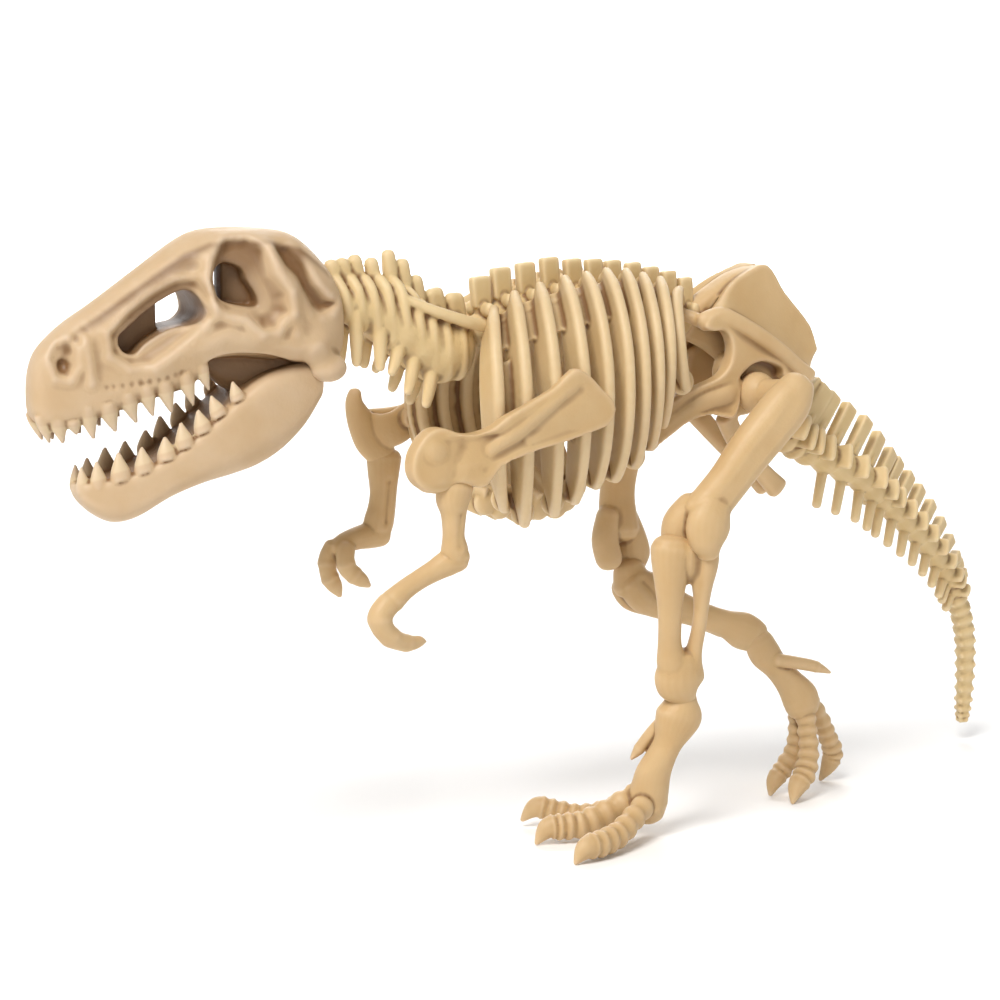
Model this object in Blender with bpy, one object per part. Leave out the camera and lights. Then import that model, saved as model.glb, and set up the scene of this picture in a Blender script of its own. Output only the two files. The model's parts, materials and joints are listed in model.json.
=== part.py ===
"""Toy skeleton of a large two-legged dinosaur, standing on its own feet.

The animal faces -X, its left side is -Y and the floor is z = 0. All sizes
below are in millimetres and are turned to metres when a mesh is made.
"""
import math

import bpy
import bmesh
from mathutils import Matrix, Vector

MM = 0.001
GAP = 0.3

# The model is laid out about its own point, then moved by this much so that
# the origin is the middle of its box on the floor
BOX_CENTRE = Vector((37.0, 7.4, 0.0))

# Head: origin below the back of the skull, turned a little to its right
HEAD_ORIGIN = Vector((-52.0, 0.0, 0.0))
HEAD_YAW = math.radians(6.0)

# Skull sections from the snout back: forward, top, bottom, half width
SKULL_SECTIONS = [
    (94.0, 152.0, 141.5, 4.5),
    (91.0, 158.5, 140.3, 7.5),
    (84.0, 164.5, 140.8, 9.3),
    (75.0, 170.0, 143.2, 10.8),
    (62.5, 178.5, 145.8, 12.2),
    (51.0, 186.5, 149.0, 13.6),
    (44.0, 189.8, 154.6, 14.6),
    (36.0, 191.3, 155.8, 15.4),
    (26.0, 190.8, 154.8, 16.2),
    (17.0, 188.0, 151.5, 16.0),
    (9.0, 181.0, 150.0, 14.0),
    (3.0, 172.0, 155.0, 10.0),
]
SKULL_WALL = 1.6
CAVITY_SPAN = (21.0, 93.0)
REAR_CAVITY = [(30.0, 188.0, 150.0, 8.6), (17.0, 185.4, 147.0, 8.4), (8.0, 177.0, 152.0, 6.6)]

# Openings in the side of the skull: forward and height
FACE_OPENING = [(70.5, 161.0), (67.5, 164.0), (62.0, 168.5), (56.5, 172.0), (51.0, 174.0),
                (47.5, 171.5), (48.0, 165.0), (56.0, 163.3), (62.5, 160.0), (66.5, 156.0)]
EYE_OPENING = [(43.0, 175.0), (42.0, 179.5), (38.5, 181.8), (34.0, 180.0), (32.5, 175.5),
               (30.0, 171.5), (31.0, 168.0), (38.5, 169.5), (42.0, 171.5)]
CHEEK_HOLLOW = [(22.5, 184.5), (21.0, 179.0), (18.0, 173.0), (13.5, 168.0), (9.0, 168.0),
                (9.5, 172.5), (13.5, 179.5)]
CHEEK_DEPTH = 6.0
NOSTRIL = (85.0, 156.0, 3.4)

# Upper teeth: root forward, root height, tip forward, tip height, half width
UPPER_TEETH = [
    (92.0, 142.0, 91.0, 131.0, 2.0), (88.0, 142.0, 87.6, 131.3, 2.4),
    (84.0, 142.5, 83.5, 134.0, 1.8), (79.5, 144.0, 78.3, 132.8, 2.4),
    (74.5, 145.0, 72.4, 134.6, 2.4), (69.2, 146.0, 66.9, 137.2, 2.1),
    (64.0, 147.0, 62.3, 138.9, 2.0), (59.0, 148.0, 57.1, 139.8, 1.9),
    (53.5, 149.5, 51.1, 141.6, 1.9), (48.4, 152.0, 46.6, 145.5, 1.7),
]

# Lower jaw sections from the chin back: forward, top, bottom, half width
JAW_SECTIONS = [
    (83.0, 121.0, 116.0, 4.0), (78.5, 120.8, 111.8, 6.6), (73.0, 121.8, 109.3, 8.4),
    (65.0, 124.3, 111.8, 10.2), (55.5, 129.0, 116.8, 11.8), (46.0, 136.8, 120.4, 13.0),
    (36.7, 145.0, 122.6, 13.8), (29.0, 149.8, 125.8, 13.8), (22.0, 152.0, 131.0, 13.2),
    (15.5, 153.0, 138.0, 12.2), (10.5, 153.0, 146.0, 11.0),
]
JAW_WALL = 1.6
LOWER_TEETH = [
    (80.5, 120.0, 82.3, 123.9, 2.0), (76.0, 119.5, 77.4, 126.5, 2.3),
    (69.5, 121.5, 71.2, 128.8, 2.4), (63.0, 123.8, 64.8, 130.2, 2.2),
    (56.8, 127.0, 58.9, 133.6, 2.2), (51.5, 130.8, 54.4, 137.6, 2.1),
    (46.8, 135.0, 50.0, 141.2, 2.0), (42.3, 139.0, 46.0, 144.6, 2.0),
    (37.6, 143.0, 40.6, 148.2, 1.8),
]

# Neck: centre forward position, height, half height, half width of each bone
NECK_BONES = [
    (-51.0, 169.0, 6.2, 6.0), (-45.5, 166.6, 7.2, 6.8), (-39.5, 163.2, 8.2, 7.6),
    (-33.5, 159.8, 9.0, 8.4), (-27.5, 156.6, 10.0, 9.2), (-21.0, 153.6, 11.2, 10.0),
    (-14.0, 153.6, 10.0, 9.4),
]
NECK_SPINE_TOPS = [(-53.6, 180.9), (-49.0, 181.8), (-43.6, 180.8), (-38.0, 182.9),
                   (-33.0, 180.2), (-28.5, 175.4), (-22.0, 171.8), (-14.5, 170.3)]
NECK_RODS = [(-47.5, -3.0, 163.0, -49.9, 149.8), (-40.0, -3.0, 158.0, -42.1, 147.8),
             (-33.5, 4.0, 154.0, -35.8, 145.0), (-29.0, -3.5, 151.5, -32.8, 140.3),
             (-22.5, -3.5, 146.5, -26.8, 136.2)]

# Back: column points and the tops of its flat spines
BACK_PATH = [(-9.5, 0.0, 157.5), (0.0, 0.0, 162.0), (15.0, 0.0, 165.5), (32.0, 0.0, 166.5),
             (48.0, 0.0, 164.5), (60.0, 0.0, 160.5), (66.0, 0.0, 157.5)]
BACK_RADIUS = 4.8
BACK_SPINE_TOPS = [(-7.2, 173.6), (0.0, 176.2), (8.3, 177.4), (16.6, 178.6), (24.7, 178.2),
                   (32.4, 177.9), (39.2, 177.3), (46.4, 176.4), (52.9, 174.8), (59.4, 173.2),
                   (65.0, 170.5)]

# Ribs: ten a side, numbered from the neck back
RIBS = 10
RIB_STEP_TOP = 7.3
RIB_FIRST_TOP = -6.6
RIB_TOP_HEIGHTS = [162.5, 166.5, 169.0, 170.6, 171.8, 172.4, 172.2, 171.0, 169.4, 167.0]
RIB_SPREAD = [23.5, 25.5, 27.0, 27.8, 28.0, 27.4, 26.2, 24.4, 22.0, 19.0]
LEFT_RIB_ENDS = [(0.5, 106.5), (4.4, 100.4), (15.5, 106.0), (22.5, 108.5), (30.0, 112.5),
                 (37.1, 114.5), (44.9, 117.5), (50.0, 123.0), (54.0, 129.0), (56.0, 139.0)]
RIGHT_RIB_ENDS = [(1.1, 102.4), (4.4, 100.4), (13.8, 98.0), (19.4, 99.4), (25.5, 99.0),
                  (29.8, 101.0), (33.0, 105.0), (42.0, 114.0), (49.0, 124.0), (55.0, 137.0)]
RIB_WIDTH = 2.35
RIB_THICKNESS = 1.5
FLOOR = 0.0
FLAT_ANGLE = math.radians(3.0)


def vec(point):
    return Vector(point)


def clear_scene():
    for thing in list(bpy.data.objects):
        bpy.data.objects.remove(thing, do_unlink=True)


def new_object(name, mesh_data):
    thing = bpy.data.objects.new(name, mesh_data)
    bpy.context.scene.collection.objects.link(thing)
    return thing


def finish_bmesh(name, shape):
    bmesh.ops.recalc_face_normals(shape, faces=shape.faces)
    mesh_data = bpy.data.meshes.new(name)
    shape.to_mesh(mesh_data)
    shape.free()
    return new_object(name, mesh_data)


def section_ring(shape, centre, side, up, half_side, half_up, sides, power):
    """One closed ring: an ellipse, or a squarer oval where power is above 2."""
    ring = []
    for k in range(sides):
        angle = 2.0 * math.pi * (k + 0.5) / sides
        c, s = math.cos(angle), math.sin(angle)
        x = math.copysign(abs(c) ** (2.0 / power), c) * half_side
        y = math.copysign(abs(s) ** (2.0 / power), s) * half_up
        ring.append(shape.verts.new((centre + side * x + up * y) * MM))
    return ring


def join_rings(shape, rings):
    for first, second in zip(rings, rings[1:]):
        count = len(first)
        for k in range(count):
            nxt = (k + 1) % count
            shape.faces.new((first[k], first[nxt], second[nxt]))
            shape.faces.new((first[k], second[nxt], second[k]))


def cap_ring(shape, ring, tip):
    point = shape.verts.new(tip * MM)
    for k in range(len(ring)):
        shape.faces.new((ring[k], ring[(k + 1) % len(ring)], point))


def tube(stations, up=(0, 0, 1), sides=8, power=2.0, grow=0.0, bulge=0.6):
    """A bone-like form through stations of (x, y, z, half side, half up)."""
    shape = bmesh.new()
    points = [vec(s[:3]) for s in stations]
    rings = []
    ends = []
    count = len(points)
    for k, station in enumerate(stations):
        ahead = points[min(k + 1, count - 1)]
        behind = points[max(k - 1, 0)]
        along = (ahead - behind).normalized()
        side = vec(up).cross(along).normalized()
        high = along.cross(side)
        a, b = station[3] + grow, station[4] + grow
        centre = points[k]
        if k == 0:
            centre = centre - along * grow
            ends.append(centre - along * bulge * min(a, b))
        if k == count - 1:
            centre = centre + along * grow
            ends.append(centre + along * bulge * min(a, b))
        rings.append(section_ring(shape, centre, side, high, a, b, sides, power))
    join_rings(shape, rings)
    cap_ring(shape, rings[0], ends[0])
    cap_ring(shape, rings[-1], ends[1])
    return finish_bmesh("piece", shape)


def ball(centre, radii, grow=0.0, segments=8, rings=6):
    shape = bmesh.new()
    bmesh.ops.create_uvsphere(shape, u_segments=segments, v_segments=rings, radius=1.0)
    size = [(r + grow) * MM for r in radii]
    bmesh.ops.scale(shape, vec=size, verts=shape.verts)
    bmesh.ops.translate(shape, vec=vec(centre) * MM, verts=shape.verts)
    return finish_bmesh("piece", shape)


def box(low, high):
    shape = bmesh.new()
    bmesh.ops.create_cube(shape, size=1.0)
    low, high = vec(low), vec(high)
    bmesh.ops.scale(shape, vec=(high - low) * MM, verts=shape.verts)
    bmesh.ops.translate(shape, vec=(low + high) * 0.5 * MM, verts=shape.verts)
    return finish_bmesh("piece", shape)


def merge(base, others, operation):
    """One Boolean of a collection of closed meshes on the base, applied."""
    if not others:
        return base
    group = bpy.data.collections.new("operands")
    bpy.context.scene.collection.children.link(group)
    for other in others:
        group.objects.link(other)
        bpy.context.scene.collection.objects.unlink(other)
    joiner = base.modifiers.new("join", "BOOLEAN")
    joiner.operation = operation
    joiner.operand_type = "COLLECTION"
    joiner.collection = group
    joiner.solver = "MANIFOLD"
    depsgraph = bpy.context.evaluated_depsgraph_get()
    result = bpy.data.meshes.new_from_object(base.evaluated_get(depsgraph))
    base.modifiers.clear()
    base.data = result
    for other in others:
        bpy.data.objects.remove(other, do_unlink=True)
    bpy.data.collections.remove(group)
    return base


def carve(body, cuts):
    """Take the joined shape of the cuts out of the body."""
    cuts = list(cuts)
    if not cuts:
        return body
    cutter = merge(cuts[0], cuts[1:], "UNION")
    return merge(body, [cutter], "DIFFERENCE")


def largest_surface(thing):
    """Keep only the largest closed surface, so that no scrap or hollow stays."""
    shape = bmesh.new()
    shape.from_mesh(thing.data)
    bmesh.ops.triangulate(shape, faces=shape.faces)
    bmesh.ops.dissolve_degenerate(shape, dist=0.000001, edges=shape.edges)
    left = set(shape.faces)
    best, best_volume = [], 0.0
    while left:
        seed = left.pop()
        island, queue = [seed], [seed]
        while queue:
            for edge in queue.pop().edges:
                for face in edge.link_faces:
                    if face in left:
                        left.discard(face)
                        island.append(face)
                        queue.append(face)
        volume = 0.0
        for face in island:
            a, b, c = [v.co for v in face.verts[:3]]
            volume += a.dot(b.cross(c)) / 6.0
        if volume > best_volume:
            best, best_volume = island, volume
    keep = set(best)
    bmesh.ops.delete(shape, geom=[f for f in shape.faces if f not in keep], context="FACES")
    loose = [v for v in shape.verts if not v.link_faces]
    bmesh.ops.delete(shape, geom=loose, context="VERTS")
    bmesh.ops.dissolve_limit(shape, angle_limit=FLAT_ANGLE, verts=shape.verts, edges=shape.edges)
    bmesh.ops.triangulate(shape, faces=shape.faces)
    shape.to_mesh(thing.data)
    shape.free()


def plastic(name, colour):
    material = bpy.data.materials.new(name)
    material.use_nodes = True
    shader = material.node_tree.nodes["Principled BSDF"]
    shader.inputs["Base Color"].default_value = (*colour, 1.0)
    shader.inputs["Roughness"].default_value = 0.42
    shader.inputs["Metallic"].default_value = 0.0
    return material


CREAM = (0.73, 0.52, 0.28)


def node(name, pieces, cuts=(), colour=CREAM):
    """Fuse a node's pieces, cut it clear of its neighbours and name it."""
    body = carve(merge(pieces[0], pieces[1:], "UNION"), cuts)
    largest_surface(body)
    body.name = name
    body.data.name = name
    body.data.materials.clear()
    body.data.materials.append(plastic(name + "_plastic", colour))
    return body


def head_point(forward, left, height):
    """A point of the head: forward along it, out to its left, and its height."""
    ahead = Vector((-math.cos(HEAD_YAW), math.sin(HEAD_YAW), 0.0))
    aside = Vector((-math.sin(HEAD_YAW), -math.cos(HEAD_YAW), 0.0))
    return HEAD_ORIGIN + ahead * forward + aside * left + Vector((0.0, 0.0, height))


def head_loft(sections, power, sides, grow=0.0, wall=0.0, drop=0.0, lift=0.0):
    """Loft of upright ovals along the head; wall shrinks it into a cavity."""
    shape = bmesh.new()
    rings = []
    ahead = head_point(1, 0, 0) - head_point(0, 0, 0)
    aside = head_point(0, 1, 0) - head_point(0, 0, 0)
    high = Vector((0, 0, 1))
    for forward, top, bottom, half in sections:
        low = bottom - grow - drop + (wall if not drop else 0.0)
        tall = top + grow - wall + lift
        centre = head_point(forward, 0.0, (tall + low) / 2.0)
        rings.append(section_ring(shape, centre, aside, high, half + grow - wall,
                                  (tall - low) / 2.0, sides, power))
    join_rings(shape, rings)
    for ring, sign in ((rings[0], 1.0), (rings[-1], -1.0)):
        middle = sum((v.co for v in ring), Vector()) / len(ring) / MM
        cap_ring(shape, ring, middle + ahead * sign * (0.8 + grow))
    return finish_bmesh("piece", shape)


def side_prism(outline, near, far):
    """A prism across the head from an outline in its side view."""
    shape = bmesh.new()
    low = [shape.verts.new(head_point(f, near, z) * MM) for f, z in outline]
    high = [shape.verts.new(head_point(f, far, z) * MM) for f, z in outline]
    shape.faces.new(low)
    shape.faces.new(list(reversed(high)))
    for k in range(len(outline)):
        nxt = (k + 1) % len(outline)
        shape.faces.new((low[k], low[nxt], high[nxt], high[k]))
    bmesh.ops.triangulate(shape, faces=shape.faces)
    return finish_bmesh("piece", shape)


def half_width_at(sections, forward):
    """Half width of a head loft at a forward place, between its sections."""
    for front, back in zip(sections, sections[1:]):
        if back[0] <= forward <= front[0]:
            share = (front[0] - forward) / (front[0] - back[0])
            return front[3] + (back[3] - front[3]) * share
    return sections[0][3]


def teeth(table, sections, inset, grow=0.0):
    made = []
    for root_f, root_z, tip_f, tip_z, half in table:
        out = max(half_width_at(sections, root_f) - inset, 2.2)
        for sign in (1.0, -1.0):
            root = head_point(root_f, sign * out, root_z)
            tip = head_point(tip_f, sign * (out - 0.6), tip_z)
            stations = [(*root, half * 0.8, half), (*tip, 0.4, 0.5)]
            forward = head_point(1, 0, 0) - head_point(0, 0, 0)
            made.append(tube(stations, up=forward, sides=5, grow=grow))
    return made


def skull_pieces(grow=0.0):
    made = [head_loft(SKULL_SECTIONS, 2.6, 16, grow)]
    for sign in (1.0, -1.0):
        quadrate = head_point(9.5, sign * 12.0, 150.0)
        made.append(ball(quadrate, (5.0, 3.6, 4.2), grow))
        brow = [(*head_point(46.0, sign * 11.5, 184.5), 1.8, 1.8),
                (*head_point(36.0, sign * 13.5, 187.0), 2.6, 2.2),
                (*head_point(27.0, sign * 15.0, 184.5), 2.4, 2.2),
                (*head_point(22.5, sign * 16.2, 173.0), 2.4, 2.4),
                (*head_point(26.5, sign * 16.0, 161.5), 2.2, 2.2)]
        made.append(tube(brow, up=(0, 1, 0.3), sides=8, grow=grow))
    return made


def skull_cuts():
    cavity = [s for s in SKULL_SECTIONS if CAVITY_SPAN[0] <= s[0] <= CAVITY_SPAN[1]]
    cuts = [
        head_loft(cavity, 2.6, 12, wall=SKULL_WALL, drop=14.0),
        head_loft(REAR_CAVITY, 2.6, 8),
        side_prism(FACE_OPENING, 30.0, -30.0),
        side_prism(EYE_OPENING, 30.0, -30.0),
    ]
    forward, height, radius = NOSTRIL
    for sign in (1.0, -1.0):
        cuts.append(side_prism(CHEEK_HOLLOW, sign * (16.0 - CHEEK_DEPTH), sign * 30.0))
        cuts.append(ball(head_point(forward, sign * 9.6, height), (radius, 2.6, radius * 1.3),
                         segments=8, rings=6))
    return cuts


def build_skull():
    body = skull_pieces()
    body = merge(body[0], body[1:], "UNION")
    body = carve(body, skull_cuts())
    node("skull", [body] + teeth(UPPER_TEETH, SKULL_SECTIONS, 2.6), [neck_core(GAP)])


def build_jaw():
    inner = [(f, t, b + JAW_WALL, h) for f, t, b, h in JAW_SECTIONS[1:]]
    body = head_loft(JAW_SECTIONS, 3.0, 12)
    hollow = head_loft(inner, 3.0, 12, wall=JAW_WALL, lift=12.0)
    throat = head_loft(inner[-3:], 3.0, 12, wall=JAW_WALL, lift=12.0, drop=20.0)
    body = carve(body, [hollow, throat])
    node("jaw", [body] + teeth(LOWER_TEETH, JAW_SECTIONS, 1.5), skull_pieces(GAP))


def neck_core(grow=0.0):
    """The lumpy column of the neck, narrow between its bones."""
    stations = []
    for here, after in zip(NECK_BONES, NECK_BONES[1:]):
        x, z, high, wide = here
        stations.append((x, 0.0, z, wide, high))
        between = [(a + b) / 2.0 for a, b in zip(here, after)]
        stations.append((between[0], 0.0, between[1], between[3] * 0.84, between[2] * 0.84))
    x, z, high, wide = NECK_BONES[-1]
    stations.append((x, 0.0, z, wide, high))
    return tube(stations, sides=10, grow=grow, bulge=0.35)


def neck_pieces(grow=0.0):
    made = [neck_core(grow)]
    for top_x, top_z in NECK_SPINE_TOPS:
        base_z = 171.0 - 0.42 * (top_x + 52.0)
        stations = [(top_x + 2.2, 0.0, base_z - 6.0, 2.2, 2.3),
                    (top_x + 0.8, 0.0, (base_z + top_z) / 2.0, 1.4, 1.9),
                    (top_x, 0.0, top_z - 0.6, 1.2, 1.7)]
        made.append(tube(stations, up=(1, 0, 0), sides=4, power=3.0, grow=grow))
    for x, y, z, tip_x, tip_z in NECK_RODS:
        stations = [(x, y, z + 3.0, 2.0, 2.2), (tip_x, y * 1.2, tip_z + 1.0, 1.5, 1.5)]
        made.append(tube(stations, up=(0, 1, 0), sides=6, grow=grow))
    return made


def build_neck():
    node("neck", neck_pieces(), [back_column(GAP)])


def back_column(grow=0.0):
    column = [(x, y, z, BACK_RADIUS * 0.9, BACK_RADIUS) for x, y, z in BACK_PATH]
    return tube(column, sides=8, grow=grow, bulge=0.3)


def back_spine(top, grow=0.0):
    top_x, top_z = top
    stations = [(top_x + 1.2, 0.0, top_z - 14.0, 1.3, 2.5),
                (top_x + 0.4, 0.0, top_z - 7.0, 1.0, 2.3),
                (top_x, 0.0, top_z - 0.5, 1.3, 2.7)]
    return tube(stations, up=(1, 0, 0), sides=6, power=3.0, grow=grow, bulge=0.4)


def back_pieces():
    return [back_column()] + [back_spine(top) for top in BACK_SPINE_TOPS]


def build_back():
    node("back", back_pieces())


def rib_point(index, share, side, ends):
    """A point on the middle line of a rib, share running from its head to its end."""
    top_x = RIB_FIRST_TOP + RIB_STEP_TOP * index
    end_x, end_z = ends[index]
    middle_x = -16.0 + 8.9 * index - 0.17 * index * index
    start, turn = 0.075, 0.83 if index < RIBS - 1 else 0.62
    angle = math.pi * (start + turn * share)
    top_z = RIB_TOP_HEIGHTS[index]
    half = (top_z - end_z) / (math.cos(math.pi * start) - math.cos(math.pi * (start + turn)))
    z = top_z - half * (math.cos(math.pi * start) - math.cos(angle))
    y = side * RIB_SPREAD[index] * math.sin(angle)
    bend = 4.0 * (middle_x - (top_x + end_x) / 2.0)
    x = top_x + (end_x - top_x) * share + bend * share * (1.0 - share)
    return Vector((x, y, z))


def rib_pieces(side, ends, grow=0.0, rings=7, first=0):
    made = []
    for index in range(first, RIBS):
        stations = []
        for k in range(rings):
            share = k / (rings - 1.0)
            point = rib_point(index, share, side, ends)
            taper = 1.0 - 0.18 * abs(share - 0.4)
            stations.append((*point, RIB_THICKNESS * taper, RIB_WIDTH * taper))
        made.append(tube(stations, up=(1, 0, 0), sides=6, power=2.6, grow=grow))
    return made


def rib_strip(side, ends, share, first, last, high, thick, grow=0.0):
    """A strip of wall that crosses the ribs at one share of their length."""
    points = [rib_point(k, share, side, ends) for k in range(first, last + 1)]
    below = rib_point(first, share + 0.06, side, ends)
    along_rib = (below - points[0]).normalized()
    stations = [(*p, thick, high) for p in points]
    return tube(stations, up=along_rib, sides=4, power=4.0, grow=grow, bulge=0.1)


def side_ribs(side, ends, grow=0.0):
    made = rib_pieces(side, ends, grow)
    made.append(rib_strip(side, ends, 0.03, 0, RIBS - 1, 1.8, 1.5, grow))
    made.append(rib_strip(side, ends, 0.16, 0, 5, 4.0, 0.9, grow))
    if side > 0:
        made.append(rib_strip(side, ends, 0.42, 0, 1, 7.0, 0.9, grow))
    else:
        made.append(rib_strip(side, ends, 0.62, 1, 2, 5.0, 0.9, grow))
    return made


def build_ribs():
    half_gap = GAP / 2.0
    sides = (("ribs_left", -1.0, LEFT_RIB_ENDS), ("ribs_right", 1.0, RIGHT_RIB_ENDS))
    for name, side, ends in sides:
        low, high = (-60.0, half_gap) if side > 0 else (-half_gap, 60.0)
        other_half = box((-60.0, low, 60.0), (120.0, high, 220.0))
        node(name, side_ribs(side, ends), [back_column(GAP), neck_core(GAP), other_half])


def chain(points, up=(0, 1, 0), sides=8, power=2.0, grow=0.0, bulge=0.6):
    return tube(points, up=up, sides=sides, power=power, grow=grow, bulge=bulge)


def left_shoulder_pieces(grow=0.0):
    blade = [(17.0, -33.0, 143.5, 1.7, 6.6), (9.0, -33.0, 140.5, 1.9, 7.0),
             (-2.0, -32.6, 134.5, 2.0, 5.8), (-13.0, -31.5, 128.0, 2.4, 5.0),
             (-22.0, -30.0, 124.2, 3.0, 5.6), (-31.0, -28.5, 122.0, 3.4, 7.2),
             (-38.0, -27.0, 120.8, 3.0, 5.6)]
    ridge = [(14.0, -34.4, 146.8, 1.5, 1.6), (-4.0, -34.2, 136.0, 1.6, 1.7),
             (-20.0, -32.0, 125.0, 1.9, 2.0)]
    made = [chain(blade, up=(0.45, 0, -0.9), grow=grow, power=2.6),
            chain(ridge, up=(0.45, 0, -0.9), sides=6, grow=grow)]
    made.append(ball((-37.0, -27.5, 120.5), (5.6, 4.6, 6.6), grow))
    made.append(ball((-35.0, -28.5, 128.5), (6.0, 3.6, 5.0), grow))
    made.append(ball((-27.0, -29.5, 118.0), (5.4, 4.0, 3.4), grow))
    made.append(ball((-33.0, -27.0, 114.6), (4.4, 4.0, 3.4), grow))
    made.append(tube([(-6.0, -33.0, 131.0, 2.4, 2.4), (-6.0, -25.8, 131.0, 2.4, 2.4)],
                     up=(0, 0, 1), sides=8, grow=grow, bulge=0.05))
    return made


def right_shoulder_pieces(grow=0.0):
    edge = [(-31.5, 33.5, 139.0, 2.2, 2.4), (-32.6, 33.0, 131.0, 3.4, 2.8),
            (-31.4, 33.0, 124.5, 4.2, 3.2), (-26.5, 33.0, 120.4, 4.6, 3.4),
            (-20.5, 33.0, 119.6, 4.0, 3.2)]
    strut = [(-31.0, 33.0, 128.0, 2.6, 5.0), (-22.0, 29.0, 127.0, 2.0, 5.0),
             (-8.0, 31.5, 133.0, 1.7, 5.4), (6.0, 33.0, 141.0, 1.7, 6.6),
             (15.0, 33.0, 145.0, 1.6, 5.6)]
    made = [chain(edge, grow=grow), chain(strut, up=(0.3, 0, -1), grow=grow)]
    made.append(tube([(-16.0, 32.0, 130.0, 3.0, 3.0), (-16.0, 24.4, 130.0, 3.0, 3.0)],
                     up=(0, 0, 1), sides=8, grow=grow, bulge=0.05))
    return made


def left_arm_pieces(grow=0.0):
    humerus = [(-30.6, -27.3, 114.0, 4.4, 5.6), (-31.0, -27.0, 108.5, 3.6, 4.4),
               (-31.0, -26.5, 103.0, 2.9, 2.9), (-30.6, -26.0, 98.5, 3.4, 3.8),
               (-30.0, -25.5, 94.8, 3.4, 4.0)]
    forearm = [(-31.0, -25.4, 94.0, 2.8, 3.0), (-36.0, -25.2, 92.4, 2.8, 3.0),
               (-42.0, -25.0, 89.4, 2.5, 2.6), (-50.5, -25.0, 83.6, 2.6, 2.9),
               (-53.0, -25.0, 81.5, 2.2, 2.4)]
    hand = [(-52.0, -25.0, 83.0, 2.4, 2.7), (-55.2, -25.0, 78.0, 2.8, 3.1),
            (-53.5, -25.0, 73.6, 2.4, 2.6), (-49.0, -24.4, 71.3, 2.4, 2.5),
            (-44.0, -23.6, 71.3, 1.8, 1.9), (-37.6, -22.6, 71.2, 0.8, 0.9)]
    thumb = [(-53.0, -22.6, 75.0, 1.8, 1.9), (-51.6, -21.4, 70.4, 1.3, 1.4),
             (-49.8, -21.0, 67.8, 0.7, 0.8)]
    return [chain(humerus, up=(1, 0, 0), grow=grow), chain(forearm, grow=grow),
            chain(hand, grow=grow), chain(thumb, grow=grow)]


def right_arm_pieces(grow=0.0):
    humerus = [(-21.4, 33.3, 114.8, 3.7, 5.8), (-22.5, 33.2, 108.0, 3.2, 5.0),
               (-23.2, 33.2, 100.5, 2.8, 3.4), (-23.4, 33.2, 95.0, 3.4, 4.2)]
    forearm = [(-22.2, 33.7, 92.1, 2.6, 3.0), (-29.0, 33.2, 93.6, 2.6, 3.0),
               (-35.5, 32.4, 92.4, 2.4, 3.2), (-38.5, 32.0, 90.4, 2.2, 3.4)]
    outer = [(-38.2, 33.8, 91.2, 1.8, 2.2), (-40.0, 34.4, 86.8, 1.9, 2.3),
             (-39.9, 34.4, 82.0, 1.7, 1.9), (-37.4, 33.6, 76.2, 0.7, 0.8)]
    inner = [(-36.8, 29.8, 90.4, 1.8, 2.2), (-36.9, 28.4, 86.6, 1.9, 2.2),
             (-35.8, 28.2, 82.8, 1.7, 1.9), (-30.4, 27.4, 79.6, 0.7, 0.9)]
    return [chain(humerus, up=(1, 0, 0), grow=grow), chain(forearm, grow=grow),
            chain(outer, grow=grow), chain(inner, grow=grow)]


HIP = (82.4, 15.0, 136.4)
HIP_RADIUS = 5.4


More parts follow.
